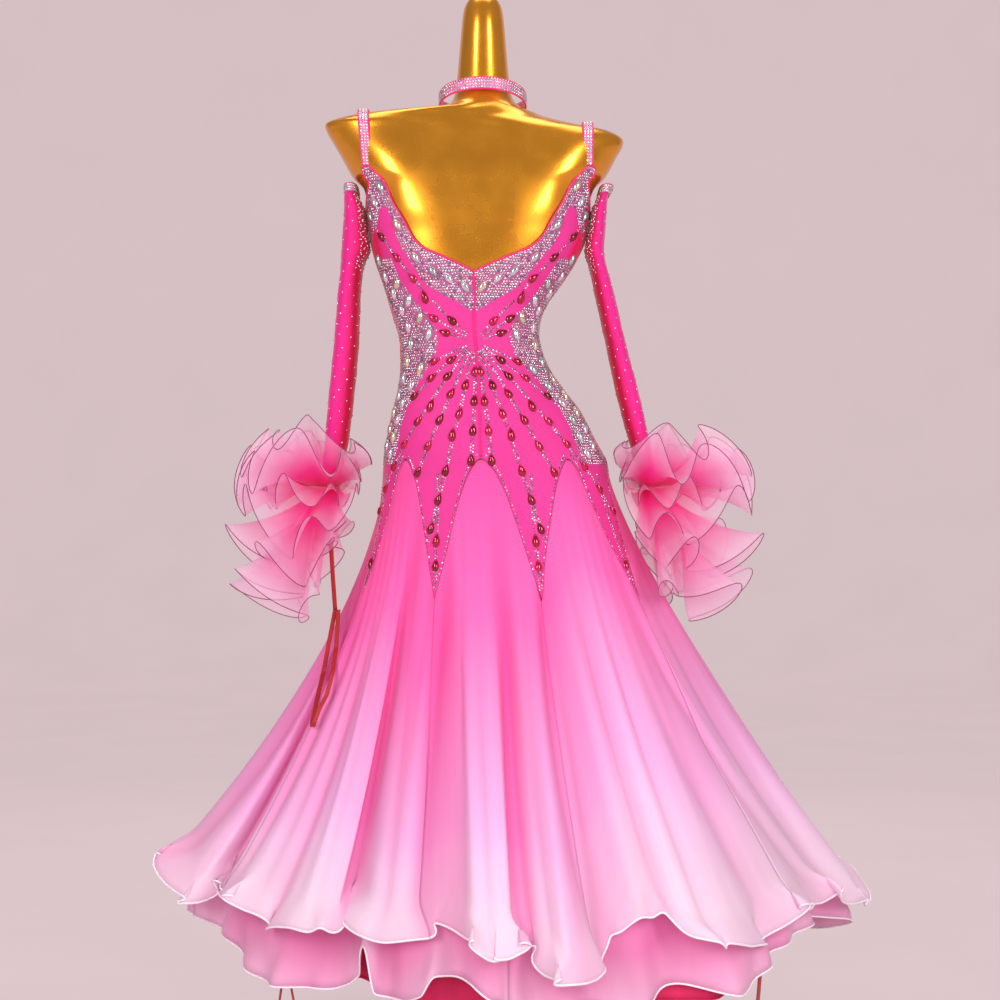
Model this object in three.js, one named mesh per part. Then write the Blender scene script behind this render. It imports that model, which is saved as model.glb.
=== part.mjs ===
// Ballroom dance gown with off-shoulder sleeves, on a limbless form with a round stand.
// Millimetres, +Z up. The gown's back faces -Y; the floor is Z = 0 at the middle of the stand's base.
import * as THREE from "three";

// ---- driving dimensions -------------------------------------------------------------------
const CLOTH = 1.3; // wall of every cloth piece
const FORM_GAP = 3; // bodice's inner face above the form
const SEAM_V = 0.07; // half of the gap between panels, in degrees of v
const SEAM_Z = 0.9; // half of the gap along the slanting godet edges, measured in Z
const GODETS = 8;
const GODET_DEG = 360 / GODETS;
const PEAK_Z = 889; // points of the godets
const TIP_DROP = 202; // the bodice's tips end this far below the points
const ARCH_POWER = 1.8; // shape of a godet's pointed arch
const FLARE_Z = 870; // the skirt leaves the hips here
const FLARE_POWER = 1.4; // how late the skirt flares, at the back
const FLARE_SWING = -0.17; // change of that power toward +X
const ZIP_TOP_Z = 1160; // lowest point of the back neckline, less the seam
const ZIP_HALF_W = 2.2;
const ZIP_THICK = 0.8;
const ZIP_LIFT = 0.6;
const SIDE_V = 90; // side seams
const UNDER_TOP_Z = 640;
const UNDER_INSET = 13;
const UNDER_EASE_DEG = 5; // the second layer keeps inside the folds this far to each side
const LINING_INSET = 36;
const LINING_TOP_INSET = 16.7;
const UNDER_TOP_INSET = 2.1;
const LINING_TOP_Z = 540;
const LINING_HEM_Z = 134; // at the back and front
const LINING_SIDE_RISE = 95; // and this much higher at the sides
const POLE_R = 12;
const BASE_R = 175;
const BASE_H = 12;
const FORM_BOTTOM_Z = 742;
const GAP = 0.4; // between pieces that sit on each other

// The form: half-widths to the left and right, depths to the back and front, and squareness.
const FORM_COLUMNS = ["z", "left", "right", "back", "front", "n"];
const FORM_ROWS = [
  [1587, -3, 12, 7, 7, 2],
  [1583, -13, 22, 17, 17, 2],
  [1577, -19, 28, 23, 23, 2],
  [1566, -24, 33, 28, 28, 2],
  [1546, -27, 36, 32, 32, 2],
  [1511, -30, 39, 34, 34, 2],
  [1456, -35, 44, 39, 39, 2],
  [1437, -38, 47, 42, 42, 2],
  [1425, -43, 53, 46, 46, 2],
  [1419, -52, 60, 49, 49, 2.1],
  [1414, -82, 70, 53, 52, 2.2],
  [1408, -159, 84, 58, 56, 2.4],
  [1400, -211, 105, 60, 59, 2.6],
  [1390, -232, 146, 64, 62, 2.8],
  [1378, -228, 200, 68, 66, 2.8],
  [1366, -221, 215, 72, 70, 2.8],
  [1340, -206, 203, 80, 76, 2.7],
  [1312, -190, 187, 86, 84, 2.6],
  [1296, -174, 171, 88, 90, 2.5],
  [1257, -166, 160, 90, 106, 2.4],
  [1225, -162, 156, 88, 116, 2.25],
  [1187, -153, 140, 84, 113, 2.2],
  [1158, -143, 122, 80, 101, 2.1],
  [1121, -131, 96, 74, 88, 2.1],
  [1100, -125, 87, 72, 81, 2.1],
  [1078, -118, 84, 71, 78, 2.1],
  [1056, -115, 88, 72, 78, 2.1],
  [1030, -115, 98, 77, 80, 2.1],
  [1000, -118, 118, 86, 84, 2.1],
  [960, -127, 148, 99, 90, 2.1],
  [917, -136, 170, 109, 94, 2.1],
  [884, -140, 186, 113, 95, 2.1],
  [850, -141, 190, 112, 94, 2.1],
  [800, -134, 178, 104, 90, 2.1],
  [FORM_BOTTOM_Z, -112, 150, 92, 82, 2.1],
];

// The outer hem, all the way round: v in degrees from the centre back toward +X, then its place.
const HEM_COLUMNS = ["v", "x", "y", "z"];
const HEM_ROWS = [
  [-98, -456, 62, 288],
  [-89, -468, -14, 281],
  [-81, -432, -92, 243],
  [-74, -378, -62, 266],
  [-67.5, -372, -128, 264],
  [-57, -312, -186, 238],
  [-48, -258, -232, 228],
  [-40, -202, -258, 228],
  [-35, -180, -216, 256],
  [-30, -150, -286, 232],
  [-22.5, -86, -318, 241],
  [-17, -34, -340, 264],
  [-12, 0, -392, 236],
  [-5, 24, -404, 230],
  [1, 50, -394, 232],
  [6, 66, -366, 240],
  [12, 98, -412, 208],
  [17, 126, -446, 192],
  [22.5, 162, -396, 220],
  [27, 174, -352, 244],
  [33, 222, -334, 262],
  [40, 252, -322, 270],
  [46, 298, -344, 225],
  [53, 346, -324, 221],
  [60, 396, -262, 226],
  [67.5, 452, -184, 245],
  [74, 484, -126, 250],
  [80, 522, -76, 240],
  [87, 583, -14, 232],
  [95, 556, 78, 250],
  [104, 506, 122, 262],
  [112.5, 494, 202, 236],
  [121, 424, 232, 262],
  [130, 404, 306, 236],
  [139, 330, 318, 262],
  [148, 282, 388, 234],
  [157.5, 206, 364, 262],
  [166, 150, 424, 236],
  [175, 72, 384, 260],
  [184, 10, 424, 234],
  [193, -64, 376, 260],
  [202.5, -132, 404, 236],
  [211, -188, 342, 262],
  [220, -262, 344, 238],
  [229, -302, 268, 264],
  [238, -372, 244, 240],
  [247.5, -396, 160, 266],
];

// Neckline and armholes: top edge of the bodice over v.
const NECK_COLUMNS = ["v", "z"];
const NECK_ROWS = [
  [0, 1164],
  [7.5, 1175],
  [17.7, 1188],
  [28.2, 1201],
  [33.2, 1214],
  [38.3, 1242],
  [45, 1276],
  [48.2, 1316],
  [50.5, 1322],
  [56, 1320],
  [62, 1300],
  [72, 1280],
  [82, 1260],
  [90, 1252],
  [98, 1256],
  [108, 1276],
  [118, 1306],
  [124, 1320],
  [129.5, 1322],
  [132, 1314],
  [139, 1288],
  [150, 1264],
  [165, 1250],
  [180, 1246],
];

// Sleeves: the tube's middle, half-width and half-depth, for the left; the right has its own.
const SLEEVE_COLUMNS = ["z", "inner", "outer", "depth"];
const SLEEVE_LEFT = [
  [1300, -184, -202, 40],
  [1285, -181, -203, 45],
  [1262, -171.4, -204, 48],
  [1230, -167, -206, 48],
  [1205, -164.5, -208, 46],
  [1180, -174, -209, 42],
  [1145, -178, -213, 38],
  [1068, -181, -219, 36],
  [988, -188, -227, 34],
  [905, -199, -234, 31],
  [850, -213, -239, 27.6],
];
const SLEEVE_RIGHT = [
  [1298, 180, 199, 40],
  [1282, 175, 192, 45],
  [1262, 166, 190, 48],
  [1230, 161.2, 188, 48],
  [1205, 156.5, 186, 46],
  [1180, 163, 190, 42],
  [1145, 170, 200, 38],
  [1068, 187, 218, 36],
  [988, 204, 239, 34],
  [905, 226, 257, 31],
  [850, 240, 266, 28],
];

// ---- curves over the tables ------------------------------------------------------------------
const records = (columns, rows) =>
  rows.map((row) => Object.fromEntries(columns.map((name, i) => [name, row[i]])));
const FORM = records(FORM_COLUMNS, FORM_ROWS).sort((a, b) => a.z - b.z);
const NECK = records(NECK_COLUMNS, NECK_ROWS);
const HEM = records(HEM_COLUMNS, HEM_ROWS);
const rad = (deg) => (deg * Math.PI) / 180;

// A smooth value of `field` at `at`, with the rows' `key` rising; tangents are kept monotone.
function along(rows, key, field, at) {
  if (at <= rows[0][key]) return rows[0][field];
  const last = rows.length - 1;
  if (at >= rows[last][key]) return rows[last][field];
  let i = 0;
  while (at > rows[i + 1][key]) i += 1;
  const slope = (k) => (rows[k + 1][field] - rows[k][field]) / (rows[k + 1][key] - rows[k][key]);
  const tangent = (k) => {
    if (k === 0) return slope(0);
    if (k === last) return slope(last - 1);
    const before = slope(k - 1);
    const after = slope(k);
    return before * after <= 0 ? 0 : (2 * before * after) / (before + after);
  };
  const h = rows[i + 1][key] - rows[i][key];
  const t = (at - rows[i][key]) / h;
  const a = rows[i][field];
  const b = rows[i + 1][field];
  const ta = tangent(i) * h;
  const tb = tangent(i + 1) * h;
  return (
    (2 * t ** 3 - 3 * t ** 2 + 1) * a +
    (t ** 3 - 2 * t ** 2 + t) * ta +
    (3 * t ** 2 - 2 * t ** 3) * b +
    (t ** 3 - t ** 2) * tb
  );
}

// The hem's place at v, a smooth closed curve through its rows.
function hemAt(v) {
  const first = HEM[0].v;
  const turned = ((((v - first) % 360) + 360) % 360) + first;
  const count = HEM.length;
  let i = 0;
  while (i + 1 < count && turned >= HEM[i + 1].v) i += 1;
  const row = (k) => {
    const wrapped = ((k % count) + count) % count;
    return { ...HEM[wrapped], v: HEM[wrapped].v + 360 * Math.floor(k / count) };
  };
  const [a, b, c, d] = [row(i - 1), row(i), row(i + 1), row(i + 2)];
  const h = c.v - b.v;
  const t = (turned - b.v) / h;
  const value = (field) => {
    const tb = ((c[field] - a[field]) / (c.v - a.v)) * h;
    const tc = ((d[field] - b[field]) / (d.v - b.v)) * h;
    return (
      (2 * t ** 3 - 3 * t ** 2 + 1) * b[field] +
      (t ** 3 - 2 * t ** 2 + t) * tb +
      (3 * t ** 2 - 2 * t ** 3) * c[field] +
      (t ** 3 - t ** 2) * tc
    );
  };
  return new THREE.Vector3(value("x"), value("y"), value("z"));
}

// The centre-back line's bearing drifts with height; v is measured from it.
const CENTRE_COLUMNS = ["z", "turn"];
const CENTRE_ROWS = [
  [889, -6.2],
  [930, -4.4],
  [967, -3.2],
  [1016, 1.1],
  [1064, 4.2],
  [1114, 4.9],
  [1163, 0.4],
  [1200, 0],
];
const CENTRE = records(CENTRE_COLUMNS, CENTRE_ROWS);
const centreBack = (z) => along(CENTRE, "z", "turn", z);

// A point of the form's section at height z, moved out by `off`.
function formPoint(v, z, off) {
  const row = (field) => along(FORM, "z", field, z);
  const [left, right] = [row("left"), row("right")];
  const turn = rad(v + centreBack(z));
  const [s, c] = [Math.sin(turn), Math.cos(turn)];
  const power = 2 / row("n");
  const halfWidth = (right - left) / 2 + off;
  const depth = (c > 0 ? row("back") : row("front")) + off;
  return new THREE.Vector3(
    (left + right) / 2 + halfWidth * Math.sign(s) * Math.abs(s) ** power,
    -depth * Math.sign(c) * Math.abs(c) ** power,
    z,
  );
}

// The gown's outer face: on the form above the hips, then flaring to the hem. The hem's place may be given.
const BODICE_OFF = FORM_GAP + CLOTH;
function gownPoint(v, z) {
  if (z >= FLARE_Z) return formPoint(v, z, BODICE_OFF);
  const hem = hemAt(v);
  const hip = formPoint(v, FLARE_Z, BODICE_OFF);
  const drop = (FLARE_Z - z) / (FLARE_Z - hem.z);
  const flare = drop ** (FLARE_POWER + FLARE_SWING * Math.sin(rad(v)));
  return new THREE.Vector3(hip.x + (hem.x - hip.x) * flare, hip.y + (hem.y - hip.y) * flare, z);
}

// The outward normal of a surface f(v, z).
function normalOf(f, v, z) {
  const dv = f(v + 0.5, z).sub(f(v - 0.5, z));
  const dz = f(v, z + 2).sub(f(v, z - 2));
  return dv.cross(dz).normalize();
}
const gownOff = (v, z, off) => gownPoint(v, z).addScaledVector(normalOf(gownPoint, v, z), off);

// ---- solids ----------------------------------------------------------------------------------
const group = new THREE.Group();
const COLORS = {
  gold: 0xc88214,
  hotPink: 0xff40ac,
  crimson: 0xe01a60,
  pale: 0xffb4dc,
  white: 0xfbe4f2,
  deep: 0xe62d69,
  stone: 0xe8c8d8,
  ruby: 0xc8143c,
  red: 0xc80014,
};

function add(name, points, triangles, color) {
  const geometry = new THREE.BufferGeometry();
  geometry.setAttribute(
    "position",
    new THREE.Float32BufferAttribute(
      points.flatMap((p) => [p.x, p.y, p.z]),
      3,
    ),
  );
  geometry.setIndex(triangles.flat());
  geometry.computeVertexNormals();
  const metal = color === COLORS.gold ? 0.9 : 0;
  const material = new THREE.MeshStandardMaterial({ color, roughness: 0.5, metalness: metal });
  const mesh = new THREE.Mesh(geometry, material);
  mesh.name = name;
  group.add(mesh);
}

// A wall between two grids of points: outer(i, j) and inner(i, j), with i turning toward +X at
// the back and j going down. A closed wall joins its last column to its first.
function addWall(name, columns, rows, outer, inner, closed, color) {
  const points = [];
  const faces = [];
  for (const side of [outer, inner])
    for (let i = 0; i < columns; i += 1) for (let j = 0; j < rows; j += 1) points.push(side(i, j));
  const at = (side, i, j) => side * columns * rows + (i % columns) * rows + j;
  const quad = (a, b, c, d) => faces.push([a, b, c], [a, c, d]);
  const spans = closed ? columns : columns - 1;
  for (let i = 0; i < spans; i += 1) {
    for (let j = 0; j + 1 < rows; j += 1) {
      quad(at(0, i, j), at(0, i, j + 1), at(0, i + 1, j + 1), at(0, i + 1, j));
      quad(at(1, i, j), at(1, i + 1, j), at(1, i + 1, j + 1), at(1, i, j + 1));
    }
    quad(at(0, i, 0), at(0, i + 1, 0), at(1, i + 1, 0), at(1, i, 0));
    const end = rows - 1;
    quad(at(0, i, end), at(1, i, end), at(1, i + 1, end), at(0, i + 1, end));
  }
  if (!closed)
    for (let j = 0; j + 1 < rows; j += 1) {
      quad(at(0, 0, j), at(1, 0, j), at(1, 0, j + 1), at(0, 0, j + 1));
      const far = columns - 1;
      quad(at(0, far, j), at(0, far, j + 1), at(1, far, j + 1), at(1, far, j));
    }
  add(name, points, faces, color);
}

// A solid through rings of equal count, given from the top down, with flat ends.
function addLoft(name, rings, color) {
  const count = rings[0].length;
  const points = rings.flat();
  const faces = [];
  rings.slice(1).forEach((_, r) => {
    for (let i = 0; i < count; i += 1) {
      const next = (i + 1) % count;
      const [a, b] = [r * count + i, r * count + next];
      faces.push([a, a + count, b + count], [a, b + count, b]);
    }
  });
  const mean = (ring) =>
    ring.reduce((sum, p) => sum.add(p), new THREE.Vector3()).divideScalar(count);
  const top = points.push(mean(rings[0])) - 1;
  const bottom = points.push(mean(rings[rings.length - 1])) - 1;
  const base = (rings.length - 1) * count;
  for (let i = 0; i < count; i += 1) {
    const next = (i + 1) % count;
    faces.push([top, i, next], [bottom, base + next, base + i]);
  }
  add(name, points, faces, color);
}

// A band of a flat section along a path. `sides` holds the direction of its width at each point.
function addBand(name, path, sides, halfWidth, thick, color) {
  const rings = path.map((p, k) => {
    const ahead = path[Math.min(k + 1, path.length - 1)].clone();
    const along_ = ahead.sub(path[Math.max(k - 1, 0)]).normalize();
    const side = sides[k].clone().addScaledVector(along_, -sides[k].dot(along_)).normalize();
    const up = new THREE.Vector3().crossVectors(along_, side);
    const corner = (w, h) => p.clone().addScaledVector(side, w).addScaledVector(up, h);
    const h = thick / 2;
    return [
      corner(-halfWidth, -h),
      corner(-halfWidth, h),
      corner(halfWidth, h),
      corner(halfWidth, -h),
    ];
  });
  addLoft(name, rings, color);
}

// ---- the form and its stand --------------------------------------------------------------------
const FORM_AROUND = 24;
const ringOf = (count, point) => Array.from({ length: count }, (_, i) => point((i * 360) / count));
addLoft(
  "form_torso",
  FORM_ROWS.map(([z]) => ringOf(FORM_AROUND, (v) => formPoint(v, z, 0))),
  COLORS.gold,
);
const POLE_X = (FORM_ROWS.at(-1)[1] + FORM_ROWS.at(-1)[2]) / 2;
const disc = (x, r, z, count) =>
  ringOf(count, (a) => new THREE.Vector3(x + r * Math.sin(rad(a)), -r * Math.cos(rad(a)), z));
const POLE_JOG_Z = 480; // the pole leans from the middle of the base to the middle of the hips
addLoft(
  "form_pole",
  [
    disc(POLE_X, POLE_R, FORM_BOTTOM_Z - GAP, 16),
    disc(POLE_X / 2, POLE_R, POLE_JOG_Z, 16),
    disc(0, POLE_R, BASE_H + GAP, 16),
  ],
  COLORS.gold,
);
addLoft(
  "form_base",
  [disc(0, BASE_R - 4, BASE_H, 40), disc(0, BASE_R, BASE_H - 4, 40), disc(0, BASE_R, 0, 40)],
  COLORS.gold,
);

// ---- bodice --------------------------------------------------------------------------------------
const neckZ = (v) => along(NECK, "v", "z", Math.abs(v > 180 ? v - 360 : v));
// The pointed arch between bodice and godets, in straight steps so that both sides share its edge.
const ARCH_STEPS = 4;
function archZ(v) {
  const from = Math.abs(((((v + GODET_DEG / 2) % GODET_DEG) + GODET_DEG) % GODET_DEG) - GODET_DEG / 2);
  const place = (from / (GODET_DEG / 2)) * ARCH_STEPS;
  const step = Math.min(Math.floor(place), ARCH_STEPS - 1);
  const drop = (k) => TIP_DROP * (k / ARCH_STEPS) ** ARCH_POWER;
  return PEAK_Z - drop(step) - (drop(step + 1) - drop(step)) * (place - step);
}
const BODICE_UPPER_ROWS = 11; // spans from the neckline to just above the godets' points
const BODICE_LOWER_ROWS = 3; // spans down the tips
const BODICE_SPLIT_Z = 900;
function addBodice(name, from, to, columns) {
  const vAt = (i) => from + SEAM_V * 2 + ((to - from - SEAM_V * 4) * i) / (columns - 1);
  const zAt = (i, j) => {
    const [top, low] = [neckZ(vAt(i)), archZ(vAt(i)) + SEAM_Z];
    if (j <= BODICE_UPPER_ROWS) return top + ((BODICE_SPLIT_Z - top) * j) / BODICE_UPPER_ROWS;
    return BODICE_SPLIT_Z + ((low - BODICE_SPLIT_Z) * (j - BODICE_UPPER_ROWS)) / BODICE_LOWER_ROWS;
  };
  addWall(
    name,
    columns,
    BODICE_UPPER_ROWS + BODICE_LOWER_ROWS + 1,
    (i, j) => gownOff(vAt(i), zAt(i, j), 0),
    (i, j) => gownOff(vAt(i), zAt(i, j), -CLOTH),
    false,
    COLORS.hotPink,
  );
}
addBodice("bodice_back_left", -SIDE_V, 0, 17);
addBodice("bodice_back_right", 0, SIDE_V, 17);
addBodice("bodice_front", SIDE_V, 360 - SIDE_V, 33);

// The zip's tape lies over the centre-back seam.
const ZIP_ROWS = 12;
const zipZ = (j) => ZIP_TOP_Z - ((ZIP_TOP_Z - PEAK_Z - 4) * j) / (ZIP_ROWS - 1);
const zipPoint = (i, j, off) => gownOff(0, zipZ(j), off).add(new THREE.Vector3((i ? 1 : -1) * ZIP_HALF_W, 0, 0));
addWall(
  "zip_tape",
  2,
  ZIP_ROWS,
  (i, j) => zipPoint(i, j, ZIP_LIFT + ZIP_THICK),
  (i, j) => zipPoint(i, j, ZIP_LIFT),
  false,
  COLORS.hotPink,
);

// ---- straps and choker -----------------------------------------------------------------------------
// A strap climbs the back, crosses the shoulder's top and comes down the front.
const STRAP_HALF_W = 7.5;
const STRAP_THICK = 1.6;
const STRAP_RISE = 4.6; // its middle above the form
const STRAP_STEPS = 9;
const STRAP_END_Z = 1322.6;
function addStrap(name, xLow, xHigh, endZ) {
  const reachAt = (x, z) => {
    const [left, right] = [along(FORM, "z", "left", z), along(FORM, "z", "right", z)];
    return Math.abs(x - (left + right) / 2) / ((right - left) / 2);
  };
  let topZ = endZ;
  while (reachAt(xHigh, topZ) < 1) topZ += 0.5;
  const profile = [];
  for (const side of ["back", "front"])
    for (let k = 0; k < STRAP_STEPS; k += 1) {
      const t = (side === "back" ? STRAP_STEPS - k : k + 1) / STRAP_STEPS;
      const z = topZ - (topZ - endZ) * t ** 2;
      const x = xHigh + (xLow - xHigh) * t ** 2;
      const n = along(FORM, "z", "n", z);
      const depth = along(FORM, "z", side, z) * Math.max(1 - reachAt(x, z) ** n, 0) ** (1 / n);
      profile.push(new THREE.Vector3(x, side === "back" ? -depth : depth, z));
    }
  const path = profile.map((p, k) => {
    const ahead = profile[Math.min(k + 1, profile.length - 1)];
    const behind = profile[Math.max(k - 1, 0)];
    const out = new THREE.Vector3(0, behind.z - ahead.z, ahead.y - behind.y).normalize();
    return p.clone().addScaledVector(out, STRAP_RISE);
  });
  const across = path.map(() => new THREE.Vector3(1, 0, 0));
  addBand(name, path, across, STRAP_HALF_W, STRAP_THICK, COLORS.stone);
}
addStrap("strap_left", -165, -173, STRAP_END_Z);
addStrap("strap_right", 159, 160, STRAP_END_Z);

const CHOKER_AROUND = 28;
const CHOKER = { x: 4, z: 1427.5, halfWidth: 63.2, back: 51, front: 73, halfHeight: 8.5, thick: 2 };
const CHOKER_RISE = { back: 18, front: -5 };
const CHOKER_FRONT_SQUARE = 0.8;
function chokerPoint(i, top, off) {
  const a = rad((i * 360) / CHOKER_AROUND);
  const c = Math.cos(a);
  const behind = c > 0;
  const depth = (behind ? CHOKER.back : CHOKER.front) + off;
  const reach = behind ? c : -(Math.abs(c) ** CHOKER_FRONT_SQUARE);
  const middle = CHOKER.z + (behind ? CHOKER_RISE.back : CHOKER_RISE.front) * Math.abs(c);
  return new THREE.Vector3(
    CHOKER.x + (CHOKER.halfWidth + off) * Math.sin(a),
    -depth * reach,
    middle + (top ? CHOKER.halfHeight : -CHOKER.halfHeight),
  );
}
addWall(
  "choker",
  CHOKER_AROUND,
  2,
  (i, j) => chokerPoint(i, j === 0, CHOKER.thick),
  (i, j) => chokerPoint(i, j === 0, 0),
  true,
  COLORS.stone,
);

// ---- sleeves ---------------------------------------------------------------------------------------
const SLEEVE_AROUND = 12;
const SLEEVE_SQUARE = 2 / 2.3;
function sleevePoint(rows, i, z, off) {
  const a = rad((i * 360) / SLEEVE_AROUND);
  const [s, c] = [Math.sin(a), Math.cos(a)];
  const inner = along(rows, "z", "inner", z);
  const outer = along(rows, "z", "outer", z);
  const halfWidth = Math.abs(outer - inner) / 2 + off;
  const depth = along(rows, "z", "depth", z) + off;
  return new THREE.Vector3(
    (inner + outer) / 2 + halfWidth * Math.sign(s) * Math.abs(s) ** SLEEVE_SQUARE,
    -depth * Math.sign(c) * Math.abs(c) ** SLEEVE_SQUARE,
    z,
  );
}
const BAND_DROP = 12; // the stone band at each sleeve's top
function addSleeve(side, table) {
  const rows = records(SLEEVE_COLUMNS, table).sort((a, b) => a.z - b.z);
  const levels = table.map(([z]) => z);
  const sleeveTop = levels[0] - BAND_DROP - GAP;
  const tube = [sleeveTop, ...levels.slice(2)];
  addWall(
    "sleeve_" + side,
    SLEEVE_AROUND,
    tube.length,
    (i, j) => sleevePoint(rows, i, tube[j], 0),
    (i, j) => sleevePoint(rows, i, tube[j], -CLOTH),
    true,
    COLORS.crimson,
  );
  const band = [levels[0], levels[0] - BAND_DROP];
  addWall(
    "sleeve_band_" + side,
    SLEEVE_AROUND,
    2,
    (i, j) => sleevePoint(rows, i, band[j], 0.6),
    (i, j) => sleevePoint(rows, i, band[j], -CLOTH),
    true,
    COLORS.stone,
  );
}
addSleeve("left", SLEEVE_LEFT);
addSleeve("right", SLEEVE_RIGHT);

// ---- cuff ruffles -----------------------------------------------------------------------------------
// Three gathered tiers round each cuff. A tier leaves the cuff at an angle above the level that
// differs at the back, the sides and the front; the tiers share their waves, so that they nest.
const RUFFLE_AROUND = 36;
const RUFFLE_WAVES = 6;
const TIER_COLUMNS = ["name", "rings", "z", "reach", "toBody", "back", "side", "front", "phase"];
const TIER_ROWS = [
  ["upper", 3, 849, 97, 72, 58, 28, 50, 0],
  ["middle", 4, 847.1, 102, 60, -46, 2, 16, 0.12],
  ["lower", 3, 844.7, 174, 72, -76, -71, -70, 0.24],
];
const RUFFLE_SWING = 21; // degrees that a wave turns a tier up and down at its rim
const RUFFLE_PUFF = 0.12; // share of the reach that a wave adds
const CUFFS = [
  { side: "left", x: -226, lean: -26, phase: 0.4 },
  { side: "right", x: 253, lean: 28, phase: 2.1 },
];
const CUFF_LEAN_Y = -34; // the rims at the back lie this far further back
const SKIRT_CLEAR = 10; // the ruffles keep this far off the skirt's side
const SKIRT_SOFTNESS = 22; // and are eased away from it over this distance
// How far out the gown's side is at a place from back to front and a height.
function gownSideX(away, y, z) {
  let best = null;
  for (let v = 30; v <= 150; v += 2) {
    const p = gownPoint(away * v, z);
    if (!best || Math.abs(p.y - y) < best.miss) best = { miss: Math.abs(p.y - y), x: p.x };
  }
  return away * best.x;
}
function clearOfSkirt(p, away) {
  const d = away * p.x - gownSideX(away, p.y, p.z) - SKIRT_CLEAR;
  const eased = (d + Math.hypot(d, SKIRT_SOFTNESS)) / 2;
  return p.setX(p.x + away * (eased - d));
}
const CUFF = { halfWidth: 15.5, halfDepth: 30 };
function addTier(cuff, tier) {
  const away = Math.sign(cuff.x);
  const e0 = (tier.back + tier.front + 2 * tier.side) / 4;
  const e1 = (tier.back - tier.front) / 2;
  const e2 = (tier.back + tier.front - 2 * tier.side) / 4;
  const pointAt = (i, j, off) => {
    const a = rad((i * 360) / RUFFLE_AROUND);
    const t = j / (tier.rings - 1);
    const toBody = Math.max(0, -away * Math.sin(a)) ** 1.5;
    const wave = Math.sin(RUFFLE_WAVES * a + cuff.phase + tier.phase);
    const second = Math.sin(2 * RUFFLE_WAVES * a + 2 * cuff.phase);
    const level = e0 + e1 * Math.cos(a) + e2 * Math.cos(2 * a);
    const steep = level + Math.sign(tier.back) * 14 * toBody * (tier.name === "middle" ? 0 : 1);
    const swing = RUFFLE_SWING * (1 - 0.5 * toBody) * t;
    const rise = rad(steep + swing * (wave + 0.2 * second));
    const full = tier.reach + (tier.toBody - tier.reach) * toBody;
    const length = full * t * (1 + RUFFLE_PUFF * Math.cos(3 * a + cuff.phase) * (1 - toBody));
    const flat = length * Math.cos(rise);
    const lean = cuff.lean * t * (1 - (tier.name === "upper" ? toBody : 0));
    const leanY = (CUFF_LEAN_Y * t * (1 + Math.cos(a))) / 2;
    const p = new THREE.Vector3(
      cuff.x + lean + (CUFF.halfWidth + flat - off * Math.sin(rise)) * Math.sin(a),
      leanY - (CUFF.halfDepth + flat - off * Math.sin(rise)) * Math.cos(a),
      tier.z + length * Math.sin(rise) + off * Math.cos(rise),
    );
    return t === 0 ? p : clearOfSkirt(p, away);
  };
  addWall(
    "ruffle_" + cuff.side + "_" + tier.name,
    RUFFLE_AROUND,
    tier.rings,
    (i, j) => pointAt(i, j, CLOTH),
    (i, j) => pointAt(i, j, 0),
    true,
    COLORS.pale,
  );
}
for (const cuff of CUFFS) for (const tier of records(TIER_COLUMNS, TIER_ROWS)) addTier(cuff, tier);

// ---- skirt ------------------------------------------------------------------------------------------
const GODET_COLUMNS = 17;
const GODET_ROWS = 7;
const GODET_NAMES = [
  "godet_back_centre",
  "godet_back_right",
  "godet_side_right",
  "godet_front_right",
  "godet_front_centre",
  "godet_front_left",
  "godet_side_left",
  "godet_back_left",
];
GODET_NAMES.forEach((name, k) => {
  const middle = k * GODET_DEG;
  const half = GODET_DEG / 2 - SEAM_V;
  const vAt = (i) => middle - half + (2 * half * i) / (GODET_COLUMNS - 1);
  const zAt = (i, j) => {
    const top = archZ(vAt(i)) - SEAM_Z;
    return top + (hemAt(vAt(i)).z - top) * (j / (GODET_ROWS - 1));
  };
  addWall(
    name,
    GODET_COLUMNS,
    GODET_ROWS,
    (i, j) => gownOff(vAt(i), zAt(i, j), 0),
    (i, j) => gownOff(vAt(i), zAt(i, j), -CLOTH),
    false,
    COLORS.pale,
  );
});

// An inner layer keeps inside every fold: at each bearing from the skirt's axis it takes the
// smallest radius of the outer layer near that bearing, less an inset.
const AXIS = new THREE.Vector2(40, 0);
function radiusTable(z) {
  const table = new Array(360).fill(Infinity);
  for (let v = 0; v < 360; v += 0.5) {
    const p = gownPoint(v, Math.max(z, hemAt(v).z));
    const bearing = (Math.atan2(p.x - AXIS.x, -p.y) * 180) / Math.PI;
    const slot = ((Math.round(bearing) % 360) + 360) % 360;
    table[slot] = Math.min(table[slot], Math.hypot(p.x - AXIS.x, p.y));
  }
  for (let i = 1; i < 720; i += 1) if (table[i % 360] === Infinity) table[i % 360] = table[(i - 1) % 360];
  const near = (list, i, span, pick) => {
    const values = [];
    for (let k = -span; k <= span; k += 1) values.push(list[(((i + k) % 360) + 360) % 360]);
    return pick(values);
  };
  const eased = table.map((_, i) => near(table, i, UNDER_EASE_DEG, (list) => Math.min(...list)));
  return eased.map((_, i) =>
    near(eased, i, UNDER_EASE_DEG - 1, (list) => list.reduce((a, b) => a + b, 0) / list.length),
  );
}
const UNDER_HEM_COLUMNS = ["bearing", "z"];
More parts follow.
